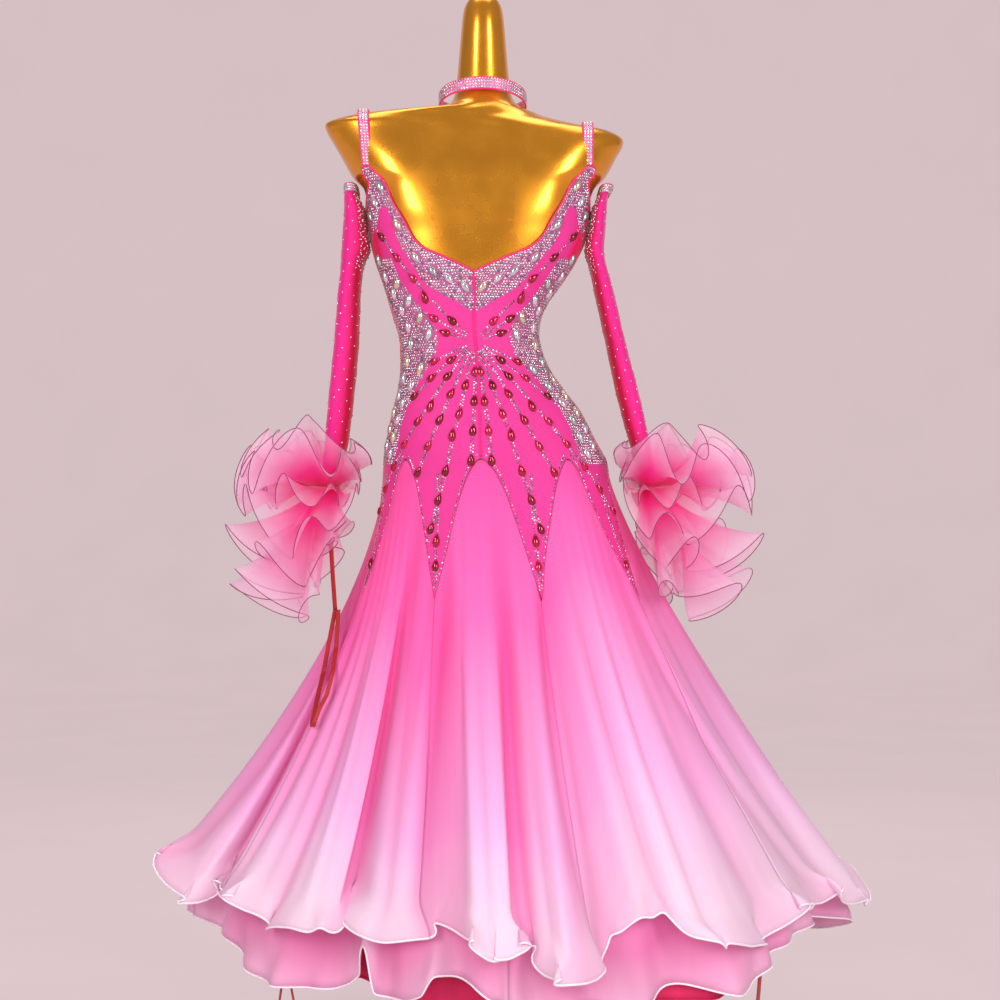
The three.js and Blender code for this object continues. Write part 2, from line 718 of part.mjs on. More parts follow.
const UNDER_HEM_ROWS = [
  [-180, 180],
  [-168, 150],
  [-156, 184],
  [-143, 150],
  [-130, 188],
  [-118, 158],
  [-106, 205],
  [-97, 214],
  [-88, 205],
  [-78, 188],
  [-70, 164],
  [-61, 147],
  [-50, 146],
  [-44, 168],
  [-39, 214],
  [-34, 152],
  [-26, 150],
  [-20, 162],
  [-16, 192],
  [-9, 184],
  [-2, 158],
  [8, 142],
  [18, 156],
  [28, 146],
  [38, 174],
  [46, 160],
  [56, 190],
  [67, 212],
  [78, 222],
  [88, 206],
  [100, 172],
  [112, 196],
  [124, 152],
  [137, 186],
  [150, 150],
  [164, 184],
  [180, 180],
];
const UNDER_HEM = records(UNDER_HEM_COLUMNS, UNDER_HEM_ROWS);
const underHemZ = (bearing) => along(UNDER_HEM, "bearing", "z", bearing > 180 ? bearing - 360 : bearing);
const RADIUS_STEP = 36;
const RADIUS_LOW_Z = 192;
const radiusTables = [];
for (let z = RADIUS_LOW_Z; z <= UNDER_TOP_Z + RADIUS_STEP; z += RADIUS_STEP) radiusTables.push(radiusTable(z));
function radiusAt(z, bearing) {
  const place = Math.max(0, (z - RADIUS_LOW_Z) / RADIUS_STEP);
  const level = Math.min(Math.floor(place), radiusTables.length - 2);
  const whole = Math.floor(bearing);
  const part = bearing - whole;
  const onLevel = (k) => {
    const slot = (n) => radiusTables[k][((n % 360) + 360) % 360];
    return slot(whole) * (1 - part) + slot(whole + 1) * part;
  };
  return onLevel(level) + (onLevel(level + 1) - onLevel(level)) * (place - level);
}
const QUARTER_GAP = 0.05; // degrees of bearing to each side of a quarter's seam
function addLayer(name, from, spec) {
  const bearingAt = (i) =>
    from + QUARTER_GAP + ((90 - 2 * QUARTER_GAP) * i) / (spec.columns - 1);
  const face = (i, j, off) => {
    const bearing = bearingAt(i);
    const t = j / (spec.rows - 1);
    const low = spec.hem(bearing) + spec.lettuce * Math.sin(rad(bearing) * spec.waves + 1.3);
    const z = spec.topZ + (low - spec.topZ) * t;
    const wave = Math.sin(rad(bearing) * spec.waves + spec.phase);
    const inset = spec.topInset + (spec.inset - spec.topInset) * Math.min(1, t * spec.settle);
    const r = radiusAt(z, bearing) - inset - off + spec.flute * wave * t ** 3;
    return new THREE.Vector3(AXIS.x + r * Math.sin(rad(bearing)), -r * Math.cos(rad(bearing)), z);
  };
  addWall(
    name,
    spec.columns,
    spec.rows,
    (i, j) => face(i, j, 0),
    (i, j) => face(i, j, CLOTH),
    false,
    spec.color,
  );
}
const UNDER_FLUTE = 5;
const UNDER = {
  topZ: UNDER_TOP_Z,
  rows: 6,
  columns: 21,
  inset: UNDER_INSET,
  topInset: UNDER_TOP_INSET,
  settle: 4,
  waves: 16,
  phase: 0.5,
  flute: UNDER_FLUTE,
  lettuce: 0,
  hem: underHemZ,
  color: COLORS.white,
};
const LINING = {
  topZ: LINING_TOP_Z,
  rows: 4,
  columns: 11,
  inset: LINING_INSET,
  topInset: LINING_TOP_INSET,
  settle: 3,
  waves: 12,
  phase: 0.5,
  flute: 3,
  lettuce: 6,
  hem: (bearing) => LINING_HEM_Z + LINING_SIDE_RISE * Math.sin(rad(bearing)) ** 4,
  color: COLORS.deep,
};
const QUARTERS = [
  ["back_left", -90],
  ["back_right", 0],
  ["front_right", 90],
  ["front_left", 180],
];
for (const [name, from] of QUARTERS) {
  addLayer("underlayer_" + name, from, UNDER);
  addLayer("lining_" + name, from, LINING);
}

// ---- ribbons -------------------------------------------------------------------------------------------
const RIBBON_THICK = 1.2;
const RIBBON_HALF_W = 3.2;
const TAPE_HALF_W = 5.5;
// How far back the skirt reaches within a ribbon's width of a place across and up.
const LOOP_REACH = 8;
function skirtBackY(x, z) {
  let least = 0;
  for (let v = -88; v <= 88; v += 0.5) {
    const p = gownPoint(v, z);
    if (Math.abs(p.x - x) < LOOP_REACH) least = Math.min(least, p.y);
  }
  return least;
}
// The loop below the left cuff: down the rear strand, round its end and up the front one.
const LOOP_CLEAR = 1.4; // rear strand before the skirt
const LOOP_DEPTH = 6; // front strand before the rear one
const LOOP_REAR = [
  [-214, 668],
  [-223, 620],
  [-231, 577],
  [-239, 532],
  [-244, 504],
];
const LOOP_FRONT = [
  [-241, 504],
  [-233, 526],
  [-222, 547],
  [-215, 577],
  [-212, 613],
  [-209, 668],
];
const LOOP_LEAST_Y = -40;
function addCuffLoop() {
  const onSkirt = ([x, z], off) =>
    new THREE.Vector3(x, Math.min(LOOP_LEAST_Y, skirtBackY(x, z) - LOOP_CLEAR) - off, z);
  const rear = LOOP_REAR.map((place) => onSkirt(place, 0));
  const front = LOOP_FRONT.map((place) => onSkirt(place, LOOP_DEPTH));
  const end = rear.at(-1);
  const turn = [0.15, 0.5, 0.85].map(
    (t) => new THREE.Vector3(end.x + 3 * t, end.y - LOOP_DEPTH * t, end.z - 5 * Math.sin(Math.PI * t) - 1),
  );
  const path = [...rear, ...turn, ...front];
  addBand(
    "ribbon_left_cuff",
    path,
    path.map(() => new THREE.Vector3(1, 0, 0)),
    RIBBON_HALF_W,
    RIBBON_THICK,
    COLORS.red,
  );
}
addCuffLoop();

// Hanging loops and the tape come out between the second layer and the lining, sewn to the former.
const HANG_COLUMNS = ["bearing", "z", "inset"];
function addHanging(name, halfWidth, table) {
  const rows = records(HANG_COLUMNS, table);
  const path = rows.map(({ bearing, z, inset }) => {
    const r = radiusAt(z, bearing) - inset;
    return new THREE.Vector3(AXIS.x + r * Math.sin(rad(bearing)), -r * Math.cos(rad(bearing)), z);
  });
  const across = rows.map(
    ({ bearing }) => new THREE.Vector3(Math.cos(rad(bearing)), Math.sin(rad(bearing)), 0),
  );
  addBand(name, path, across, halfWidth, RIBBON_THICK, COLORS.red);
}
addHanging("ribbon_left_hem_a", RIBBON_HALF_W, [
  [-61.2, 232, 21.2],
  [-61.4, 190, 25],
  [-61.8, 150, 26],
  [-62.8, 120, 26],
  [-63.2, 78, 26],
]);
addHanging("ribbon_left_hem_b", RIBBON_HALF_W, [
  [-60.2, 232, 21.2],
  [-59.9, 190, 25],
  [-59.4, 150, 26],
  [-58, 120, 26],
  [-57.4, 76, 26],
]);
addHanging("ribbon_right_hem", TAPE_HALF_W, [
  [59, 262, 25.5],
  [58.6, 215, 26.2],
  [58, 170, 27],
  [56.8, 125, 27],
  [55.8, 78, 27],
]);

// ---- large set stones ------------------------------------------------------------------------------------
const STONE_COLUMNS = ["v", "z", "length", "width", "lift"];
const STONE_ROWS = [
  [-35, 1128, 21, 12, 0.9],
  [35, 1128, 21, 12, 0.95],
  [-31, 968, 21, 12, 0.05],
  [31, 968, 21, 12, 0],
  [-15, 925, 20, 11, 0.3],
  [15, 925, 20, 11, 0.3],
  [-22.5, 772, 20, 11, 1.25],
  [22.5, 772, 20, 11, 1.05],
];
const STONE_HEIGHT = 4.5;
const STONE_SIDES = 6;
function addStone(spec, k) {
  const out = normalOf(gownPoint, spec.v, spec.z);
  const up = new THREE.Vector3(0, 0, 1).addScaledVector(out, -out.z).normalize();
  const side = new THREE.Vector3().crossVectors(up, out);
  const ring = (height, share) =>
    Array.from({ length: STONE_SIDES }, (_, i) => {
      const a = (-i * 2 * Math.PI) / STONE_SIDES;
      return gownPoint(spec.v, spec.z)
        .addScaledVector(out, spec.lift + height)
        .addScaledVector(up, (share * spec.length * Math.cos(a)) / 2)
        .addScaledVector(side, (share * spec.width * Math.sin(a)) / 2);
    });
  addLoft(
    "set_stone_" + (k + 1),
    [ring(STONE_HEIGHT, 0.55), ring(STONE_HEIGHT * 0.4, 1), ring(0, 0.9)],
    COLORS.ruby,
  );
}
records(STONE_COLUMNS, STONE_ROWS).forEach(addStone);

export default group;
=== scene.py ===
"""Looks of the ballroom dance gown on its limbless form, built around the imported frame.

Sizes are millimetres in the tables below, as in the part's source, and metres in the meshes.
The gown's back faces -Y; v is the bearing in degrees from the centre back toward +X.
"""

import logging
import math
from dataclasses import dataclass, field
from enum import Enum
from typing import Callable, Sequence

import bmesh
import bpy
import numpy as np
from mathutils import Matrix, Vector

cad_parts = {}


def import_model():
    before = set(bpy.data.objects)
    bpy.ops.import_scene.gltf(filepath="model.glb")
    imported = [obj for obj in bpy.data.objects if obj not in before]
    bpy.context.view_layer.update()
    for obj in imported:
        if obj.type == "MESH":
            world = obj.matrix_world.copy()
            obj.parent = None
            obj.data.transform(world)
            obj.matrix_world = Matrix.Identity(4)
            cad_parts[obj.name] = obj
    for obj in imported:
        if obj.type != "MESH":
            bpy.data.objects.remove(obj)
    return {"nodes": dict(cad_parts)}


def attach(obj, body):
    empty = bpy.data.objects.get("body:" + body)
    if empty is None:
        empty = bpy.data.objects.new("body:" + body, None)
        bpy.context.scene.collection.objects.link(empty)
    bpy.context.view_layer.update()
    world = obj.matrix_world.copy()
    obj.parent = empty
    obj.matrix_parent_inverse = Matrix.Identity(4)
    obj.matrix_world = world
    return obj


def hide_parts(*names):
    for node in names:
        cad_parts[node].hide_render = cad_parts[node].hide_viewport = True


LOG = logging.getLogger("gown")
Array = np.ndarray
Surface = Callable[[Array, Array], Array]
MM = 0.001


class Slot(Enum):
    """The record's material slots."""

    FORM = "form_gold"
    STAND = "stand_gold"
    STRETCH = "stretch_pink"
    ZIP = "zip_pink"
    BAND = "stone_band"
    SLEEVE = "sleeve_crimson"
    RUFFLE = "ruffle_organza"
    SKIRT = "skirt_organza"
    UNDER = "second_layer"
    LINING = "inner_pink"
    RIBBON = "red_ribbon"
    STONE = "set_stone"


# ---- tables shared with the solids -------------------------------------------------------------


class Table:
    """Rows of numbers under named columns, with a smooth monotone value between them."""

    def __init__(self, columns: str, rows: Sequence[Sequence[float]]) -> None:
        """Args: columns: names, the first being the key. rows: numbers in that order."""
        order = sorted(rows, key=lambda row: row[0])
        self.names = columns.split()
        self.data = {n: np.array([r[i] for r in order], float) for i, n in enumerate(self.names)}

    def at(self, name: str, where: Array) -> Array:
        """Returns the column's value at each key in `where`, held level past the ends."""
        x, y = self.data[self.names[0]], self.data[name]
        where = np.clip(np.asarray(where, float), x[0], x[-1])
        h = np.diff(x)
        slope = np.diff(y) / h
        product, total = slope[:-1] * slope[1:], slope[:-1] + slope[1:]
        inner = np.where(product > 0, 2 * product / np.where(total == 0, 1, total), 0)
        tangent = np.concatenate([[slope[0]], inner, [slope[-1]]])
        i = np.clip(np.searchsorted(x, where, side="right") - 1, 0, len(h) - 1)
        t = (where - x[i]) / h[i]
        return hermite(t, y[i], y[i + 1], tangent[i] * h[i], tangent[i + 1] * h[i])


def hermite(t: Array, a: Array, b: Array, ta: Array, tb: Array) -> Array:
    """Returns the cubic from a to b with end tangents ta and tb."""
    return (
        (2 * t**3 - 3 * t**2 + 1) * a
        + (t**3 - 2 * t**2 + t) * ta
        + (3 * t**2 - 2 * t**3) * b
        + (t**3 - t**2) * tb
    )


FORM = Table(
    "z left right back front n",
    [
        (1587, -3, 12, 7, 7, 2),
        (1583, -13, 22, 17, 17, 2),
        (1577, -19, 28, 23, 23, 2),
        (1566, -24, 33, 28, 28, 2),
        (1546, -27, 36, 32, 32, 2),
        (1511, -30, 39, 34, 34, 2),
        (1456, -35, 44, 39, 39, 2),
        (1437, -38, 47, 42, 42, 2),
        (1425, -43, 53, 46, 46, 2),
        (1419, -52, 60, 49, 49, 2.1),
        (1414, -82, 70, 53, 52, 2.2),
        (1408, -159, 84, 58, 56, 2.4),
        (1400, -211, 105, 60, 59, 2.6),
        (1390, -232, 146, 64, 62, 2.8),
        (1378, -228, 200, 68, 66, 2.8),
        (1366, -221, 215, 72, 70, 2.8),
        (1340, -206, 203, 80, 76, 2.7),
        (1312, -190, 187, 86, 84, 2.6),
        (1296, -174, 171, 88, 90, 2.5),
        (1257, -166, 160, 90, 106, 2.4),
        (1225, -162, 156, 88, 116, 2.25),
        (1187, -153, 140, 84, 113, 2.2),
        (1158, -143, 122, 80, 101, 2.1),
        (1121, -131, 96, 74, 88, 2.1),
        (1100, -125, 87, 72, 81, 2.1),
        (1078, -118, 84, 71, 78, 2.1),
        (1056, -115, 88, 72, 78, 2.1),
        (1030, -115, 98, 77, 80, 2.1),
        (1000, -118, 118, 86, 84, 2.1),
        (960, -127, 148, 99, 90, 2.1),
        (917, -136, 170, 109, 94, 2.1),
        (884, -140, 186, 113, 95, 2.1),
        (850, -141, 190, 112, 94, 2.1),
        (800, -134, 178, 104, 90, 2.1),
        (742, -112, 150, 92, 82, 2.1),
    ],
)
HEM_ROWS = [
    (-98, -456, 62, 288),
    (-89, -468, -14, 281),
    (-81, -432, -92, 243),
    (-74, -378, -62, 266),
    (-67.5, -372, -128, 264),
    (-57, -312, -186, 238),
    (-48, -258, -232, 228),
    (-40, -202, -258, 228),
    (-35, -180, -216, 256),
    (-30, -150, -286, 232),
    (-22.5, -86, -318, 241),
    (-17, -34, -340, 264),
    (-12, 0, -392, 236),
    (-5, 24, -404, 230),
    (1, 50, -394, 232),
    (6, 66, -366, 240),
    (12, 98, -412, 208),
    (17, 126, -446, 192),
    (22.5, 162, -396, 220),
    (27, 174, -352, 244),
    (33, 222, -334, 262),
    (40, 252, -322, 270),
    (46, 298, -344, 225),
    (53, 346, -324, 221),
    (60, 396, -262, 226),
    (67.5, 452, -184, 245),
    (74, 484, -126, 250),
    (80, 522, -76, 240),
    (87, 583, -14, 232),
    (95, 556, 78, 250),
    (104, 506, 122, 262),
    (112.5, 494, 202, 236),
    (121, 424, 232, 262),
    (130, 404, 306, 236),
    (139, 330, 318, 262),
    (148, 282, 388, 234),
    (157.5, 206, 364, 262),
    (166, 150, 424, 236),
    (175, 72, 384, 260),
    (184, 10, 424, 234),
    (193, -64, 376, 260),
    (202.5, -132, 404, 236),
    (211, -188, 342, 262),
    (220, -262, 344, 238),
    (229, -302, 268, 264),
    (238, -372, 244, 240),
    (247.5, -396, 160, 266),
]
NECK = Table(
    "v z",
    [
        (0, 1164),
        (7.5, 1175),
        (17.7, 1188),
        (28.2, 1201),
        (33.2, 1214),
        (38.3, 1242),
        (45, 1276),
        (48.2, 1316),
        (50.5, 1322),
        (56, 1320),
        (62, 1300),
        (72, 1280),
        (82, 1260),
        (90, 1252),
        (98, 1256),
        (108, 1276),
        (118, 1306),
        (124, 1320),
        (129.5, 1322),
        (132, 1314),
        (139, 1288),
        (150, 1264),
        (165, 1250),
        (180, 1246),
    ],
)
CENTRE = Table(
    "z turn",
    [
        (889, -6.2),
        (930, -4.4),
        (967, -3.2),
        (1016, 1.1),
        (1064, 4.2),
        (1114, 4.9),
        (1163, 0.4),
        (1200, 0),
    ],
)
SLEEVES = {
    "left": Table(
        "z inner outer depth",
        [
            (1300, -184, -202, 40),
            (1285, -181, -203, 45),
            (1262, -171.4, -204, 48),
            (1230, -167, -206, 48),
            (1205, -164.5, -208, 46),
            (1180, -174, -209, 42),
            (1145, -178, -213, 38),
            (1068, -181, -219, 36),
            (988, -188, -227, 34),
            (905, -199, -234, 31),
            (850, -213, -239, 27.6),
        ],
    ),
    "right": Table(
        "z inner outer depth",
        [
            (1298, 180, 199, 40),
            (1282, 175, 192, 45),
            (1262, 166, 190, 48),
            (1230, 161.2, 188, 48),
            (1205, 156.5, 186, 46),
            (1180, 163, 190, 42),
            (1145, 170, 200, 38),
            (1068, 187, 218, 36),
            (988, 204, 239, 34),
            (905, 226, 257, 31),
            (850, 240, 266, 28),
        ],
    ),
}
UNDER_HEM = Table(
    "bearing z",
    [
        (-180, 180),
        (-168, 150),
        (-156, 184),
        (-143, 150),
        (-130, 188),
        (-118, 158),
        (-106, 205),
        (-97, 214),
        (-88, 205),
        (-78, 188),
        (-70, 164),
        (-61, 147),
        (-50, 146),
        (-44, 168),
        (-39, 214),
        (-34, 152),
        (-26, 150),
        (-20, 162),
        (-16, 192),
        (-9, 184),
        (-2, 158),
        (8, 142),
        (18, 156),
        (28, 146),
        (38, 174),
        (46, 160),
        (56, 190),
        (67, 212),
        (78, 222),
        (88, 206),
        (100, 172),
        (112, 196),
        (124, 152),
        (137, 186),
        (150, 150),
        (164, 184),
        (180, 180),
    ],
)


@dataclass(frozen=True)
class Sizes:
    """The gown's driving sizes, in millimetres and degrees."""

    bodice_off: float = 4.3
    peak_z: float = 889
    tip_drop: float = 202
    arch_power: float = 1.8
    flare_z: float = 870
    flare_power: float = 1.4
    flare_swing: float = -0.17
    godet_deg: float = 45
    ruffle_waves: int = 6
    ruffle_swing: float = 21
    ruffle_puff: float = 0.12


SIZES = Sizes()


class Gown:
    """The gown's outer face and the form under it, as functions of bearing v and height z."""

    def __init__(self) -> None:
        """Prepares the closed hem curve."""
        rows = np.array(HEM_ROWS, float)
        self.hem_v = rows[:, 0]
        self.hem_p = rows[:, 1:]

    def hem(self, v: Array) -> Array:
        """Returns the hem's place at each v, as an (n, 3) array."""
        v = np.asarray(v, float)
        first = self.hem_v[0]
        turned = np.mod(v - first, 360) + first
        count = len(self.hem_v)
        i = np.clip(np.searchsorted(self.hem_v, turned, side="right") - 1, 0, count - 1)

        def row(k: Array) -> tuple[Array, Array]:
            return self.hem_p[k % count], self.hem_v[k % count] + 360 * (k // count)

        (pa, va), (pb, vb), (pc, vc), (pd, vd) = (row(i + k) for k in (-1, 0, 1, 2))
        h = (vc - vb)[..., None]
        t = (turned - vb)[..., None] / h
        tb = (pc - pa) / (vc - va)[..., None] * h
        tc = (pd - pb) / (vd - vb)[..., None] * h
        return hermite(t, pb, pc, tb, tc)

    def form(self, v: Array, z: Array, off: float | Array) -> Array:
        """Returns the form's section points at bearing v and height z, moved out by off."""
        left, right = FORM.at("left", z), FORM.at("right", z)
        turn = np.radians(v + CENTRE.at("turn", z))
        s, c = np.sin(turn), np.cos(turn)
        power = 2 / FORM.at("n", z)
        depth = np.where(c > 0, FORM.at("back", z), FORM.at("front", z)) + off
        x = (left + right) / 2 + ((right - left) / 2 + off) * np.sign(s) * np.abs(s) ** power
        y = -depth * np.sign(c) * np.abs(c) ** power
        return np.stack([x, y, z + 0 * x], -1)

    def face(self, v: Array, z: Array) -> Array:
        """Returns the gown's outer face: on the form above the hips, flaring below."""
        v, z = np.broadcast_arrays(np.asarray(v, float), np.asarray(z, float))
        body = self.form(v, np.maximum(z, SIZES.flare_z), SIZES.bodice_off)
        hem = self.hem(v)
        drop = np.clip((SIZES.flare_z - z) / (SIZES.flare_z - hem[..., 2]), 0, None)
        flare = drop ** (SIZES.flare_power + SIZES.flare_swing * np.sin(np.radians(v)))
        out = body + (hem - body) * flare[..., None]
        out[..., 2] = z
        return out

    def normal(self, v: Array, z: Array) -> Array:
        """Returns the outer face's outward unit normals."""
        dv = self.face(v + 0.5, z) - self.face(v - 0.5, z)
        dz = self.face(v, z + 2) - self.face(v, z - 2)
        n = np.cross(dv, dz)
        return n / np.linalg.norm(n, axis=-1, keepdims=True)

    def off(self, v: Array, z: Array, off: float | Array) -> Array:
        """Returns the outer face moved out along its normals."""
        off = np.asarray(off, float)
        return self.face(v, z) + self.normal(v, z) * off[..., None]

    @staticmethod
    def arch(v: Array) -> Array:
        """Returns the height of the edge between bodice and godets."""
        half = SIZES.godet_deg / 2
        away = np.abs(np.mod(v + half, SIZES.godet_deg) - half) / half
        return SIZES.peak_z - SIZES.tip_drop * away**SIZES.arch_power

    @staticmethod
    def neck(v: Array) -> Array:
        """Returns the height of the bodice's top edge."""
        v = np.mod(np.asarray(v, float) + 180, 360) - 180
        return NECK.at("z", np.abs(v))


GOWN = Gown()

# ---- meshes ------------------------------------------------------------------------------------

WELD = 2e-6  # metres: places nearer than this become one
LEAST_SIDE = 0.01  # metres: the least side that a cut is given
ZIGZAG_SHARE = 0.35  # a cloth that fills less of its width times length has a zigzag edge
TUBE_SIDES = 5
ASIDE = np.array([0.1, 0.2, 0.97])  # a direction that no cord runs along


@dataclass
class Piece:
    """A named piece made from a grid that is laid on a surface.

    Args:
        name: the piece's name.
        surface: takes s and t, each from 0 to 1, and returns (n, 3) millimetres.
        across, down: spans of the grid along s and t.
        closed: whether s = 1 meets s = 0.
        thick: wall in millimetres, grown inward, or 0 for none.
        capped: whether its open ends are filled.
        marks: point attributes, each a function of s and t.
    """

    name: str
    surface: Surface
    across: int
    down: int
    closed: bool = False
    thick: float = 0.0
    capped: bool = False
    marks: dict[str, Callable[[Array, Array], Array]] = field(default_factory=dict)

    def build(self) -> bpy.types.Object:
        """Returns the finished object, linked to the scene and riding on the frame."""
        bm = bmesh.new()
        uv = bm.loops.layers.uv.new("UVMap")
        bmesh.ops.create_grid(bm, x_segments=self.across, y_segments=self.down, size=0.5)
        for face in bm.faces:
            for loop in face.loops:
                loop[uv].uv = (loop.vert.co.x + 0.5, loop.vert.co.y + 0.5)
        mesh = bpy.data.meshes.new(self.name)
        bm.to_mesh(mesh)
        bm.free()
        co = np.empty(len(mesh.vertices) * 3)
        mesh.vertices.foreach_get("co", co)
        s, t = co[0::3] + 0.5, 0.5 - co[1::3]
        mesh.vertices.foreach_set("co", (self.surface(s, t) * MM).ravel())
        for name, mark in self.marks.items():
            layer = mesh.attributes.new(name, "FLOAT", "POINT")
            layer.data.foreach_set("value", (mark(s, t) + 0 * s).astype(np.float32))
        if self.closed or self.capped:
            bm = bmesh.new()
            bm.from_mesh(mesh)
            bmesh.ops.remove_doubles(bm, verts=bm.verts, dist=WELD)
            if self.capped:
                rims = [e for e in bm.edges if e.is_boundary]
                bmesh.ops.holes_fill(bm, edges=rims, sides=0)
                bmesh.ops.recalc_face_normals(bm, faces=bm.faces)
            bm.to_mesh(mesh)
            bm.free()
        mesh.shade_smooth()
        obj = bpy.data.objects.new(self.name, mesh)
        bpy.context.scene.collection.objects.link(obj)
        if self.thick:
            wall = obj.modifiers.new("wall", "SOLIDIFY")
            wall.thickness = self.thick * MM
            wall.offset = -1
        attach(obj, "root")
        LOG.info("%s: %d faces", self.name, len(mesh.polygons))
        return obj

    def cut(self) -> tuple[float, float, float]:
        """Returns the greatest width and length of the laid cloth and its area, in metres."""
        s, t = np.meshgrid(np.linspace(0, 1, self.across + 1), np.linspace(0, 1, self.down + 1))
        p = self.surface(s.ravel(), t.ravel()).reshape(*s.shape, 3) * MM
        step = np.diff(p, axis=1)
        wide = np.linalg.norm(step, axis=2).sum(axis=1).max()
        long = np.linalg.norm(np.diff(p, axis=0), axis=2).sum(axis=0).max()
        diagonals = p[1:, 1:] - p[:-1, :-1], p[1:, :-1] - p[:-1, 1:]
        area = 0.5 * np.linalg.norm(np.cross(*diagonals), axis=2).sum()
        if area < ZIGZAG_SHARE * wide * long:  # the width is then taken level
            wide = np.linalg.norm(step[..., :2], axis=2).sum(axis=1).max()
        return float(max(wide, LEAST_SIDE)), float(max(long, LEAST_SIDE)), float(area)


def tube(
    name: str, line: Callable[[Array], Array], radius: float, across: int, closed: bool
) -> Piece:
    """Returns a round cord piece along a line.

    Args:
        name: the piece's name.
        line: takes s from 0 to 1 and returns (n, 3) millimetres.
        radius: in millimetres.
        across: spans along the line.
        closed: whether the line ends where it starts.
    """
    step = 0.5 / across

    def surface(s: Array, t: Array) -> Array:
        if closed:
            ahead, behind = np.mod(s + step, 1), np.mod(s - step, 1)
        else:
            ahead, behind = np.minimum(s + step, 1), np.maximum(s - step, 0)
        run = line(ahead) - line(behind)
        run /= np.maximum(np.linalg.norm(run, axis=-1, keepdims=True), 1e-9)
        side = np.cross(run, ASIDE)
        side /= np.maximum(np.linalg.norm(side, axis=-1, keepdims=True), 1e-9)
        up = np.cross(side, run)
        a = 2 * np.pi * t[:, None]
        middle = line(np.mod(s, 1) if closed else s)
        return middle + radius * (side * np.cos(a) + up * np.sin(a))

    return Piece(name, surface, across, TUBE_SIDES, closed=True, capped=not closed)


def ring(s: Array, radius: Array | float, z: Array, x: Array | float = 0.0) -> Array:
    """Returns places on level rings about the axis at x, s running once round from the back."""
    a = 2 * np.pi * s
    return np.stack([x + radius * np.sin(a), -radius * np.cos(a), z], -1)


# ---- finishes ----------------------------------------------------------------------------------

Colour = tuple[float, float, float]
Socket = bpy.types.NodeSocket


def rgb(r: int, g: int, b: int) -> Colour:
    """Returns a linear colour from its 0 to 255 screen values."""
    return tuple(((c / 255 + 0.055) / 1.055) ** 2.4 if c > 10 else c / 3294.6 for c in (r, g, b))


class Nodes:
    """A short way to wire a material."""

    def __init__(self, name: str) -> None:
        """Args: name: the material's name."""
        self.mat = bpy.data.materials.new(name)
        self.mat.use_nodes = True
        self.tree = self.mat.node_tree
        self.tree.nodes.clear()
        self.out = self.add("ShaderNodeOutputMaterial")

    def add(self, kind: str, inputs: dict | None = None, **settings: object) -> bpy.types.Node:
        """Adds a node, sets its settings and its inputs, which may be sockets or values."""
        node = self.tree.nodes.new(kind)
        for key, value in settings.items():
            setattr(node, key, value)
        for key, value in (inputs or {}).items():
            socket = node.inputs[key]
            if isinstance(value, Socket):
                self.tree.links.new(value, socket)
            elif socket.type == "RGBA" and isinstance(value, tuple) and len(value) == 3:
                socket.default_value = (*value, 1)
            else:
                socket.default_value = value
        return node

    def mark(self, name: str) -> Socket:
        """Returns a point attribute's value."""
        return self.add("ShaderNodeAttribute", attribute_name=name).outputs["Fac"]

    def ramp(self, fac: Socket, stops: Sequence[tuple[float, Colour]]) -> Socket:
        """Returns a colour ramp read at fac."""
        node = self.add("ShaderNodeValToRGB", {"Fac": fac})
        ramp = node.color_ramp
        while len(ramp.elements) < len(stops):
            ramp.elements.new(0.5)
        for element, (place, colour) in zip(ramp.elements, stops):
            element.position = place
            element.color = (*colour, 1)
        return node.outputs["Color"]

    def mix(
        self, fac: Socket | float, a: Socket | Colour, b: Socket | Colour, blend: str = "MIX"
    ) -> Socket:
        """Returns two colours mixed."""
        inputs = {0: fac, 6: a, 7: b}
        return self.add("ShaderNodeMix", inputs, data_type="RGBA", blend_type=blend).outputs[2]

    def noise(
        self, scale: tuple[float, float, float], size: float, detail: float = 2, uv: bool = True
    ) -> Socket:
        """Returns noise on the piece's UV map or object coordinates, stretched by scale."""
        where = self.add("ShaderNodeTexCoord").outputs["UV" if uv else "Object"]
        place = self.add("ShaderNodeMapping", {"Vector": where, "Scale": scale}).outputs[0]
        inputs = {"Vector": place, "Scale": size, "Detail": detail}
        return self.add("ShaderNodeTexNoise", inputs).outputs[0]

    def bump(self, height: Socket, strength: float, distance: float) -> Socket:
        """Returns a bumped normal."""
        inputs = {"Height": height, "Strength": strength, "Distance": distance}
        return self.add("ShaderNodeBump", inputs).outputs[0]

    def spread(self, value: Socket, low: float, high: float, start: float = 0.0) -> Socket:
        """Returns a value that runs from start to 1, spread from low to high."""
        span = {"From Min": start, "From Max": 1.0, "To Min": low, "To Max": high}
        return self.add("ShaderNodeMapRange", {"Value": value, **span}).outputs[0]

    def principled(self, inputs: dict) -> Socket:
        """Returns a principled shader."""
        return self.add("ShaderNodeBsdfPrincipled", inputs).outputs[0]

    def blend(self, share: Socket | float, top: Socket, under: Socket) -> Socket:
        """Returns the shader `top` with a share of `under`."""
        return self.add("ShaderNodeMixShader", {0: share, 1: top, 2: under}).outputs[0]

    def glow(self, share: float, top: Socket, colour: Socket) -> Socket:
        """Returns the shader `top` with a share of the light let through the cloth."""
        through = self.add("ShaderNodeBsdfTranslucent", {"Color": colour}).outputs[0]
        return self.blend(share, top, through)

    def close(self, shader: Socket) -> bpy.types.Material:
        """Wires the shader to the output and returns the material."""
        self.tree.links.new(shader, self.out.inputs["Surface"])
        return self.mat


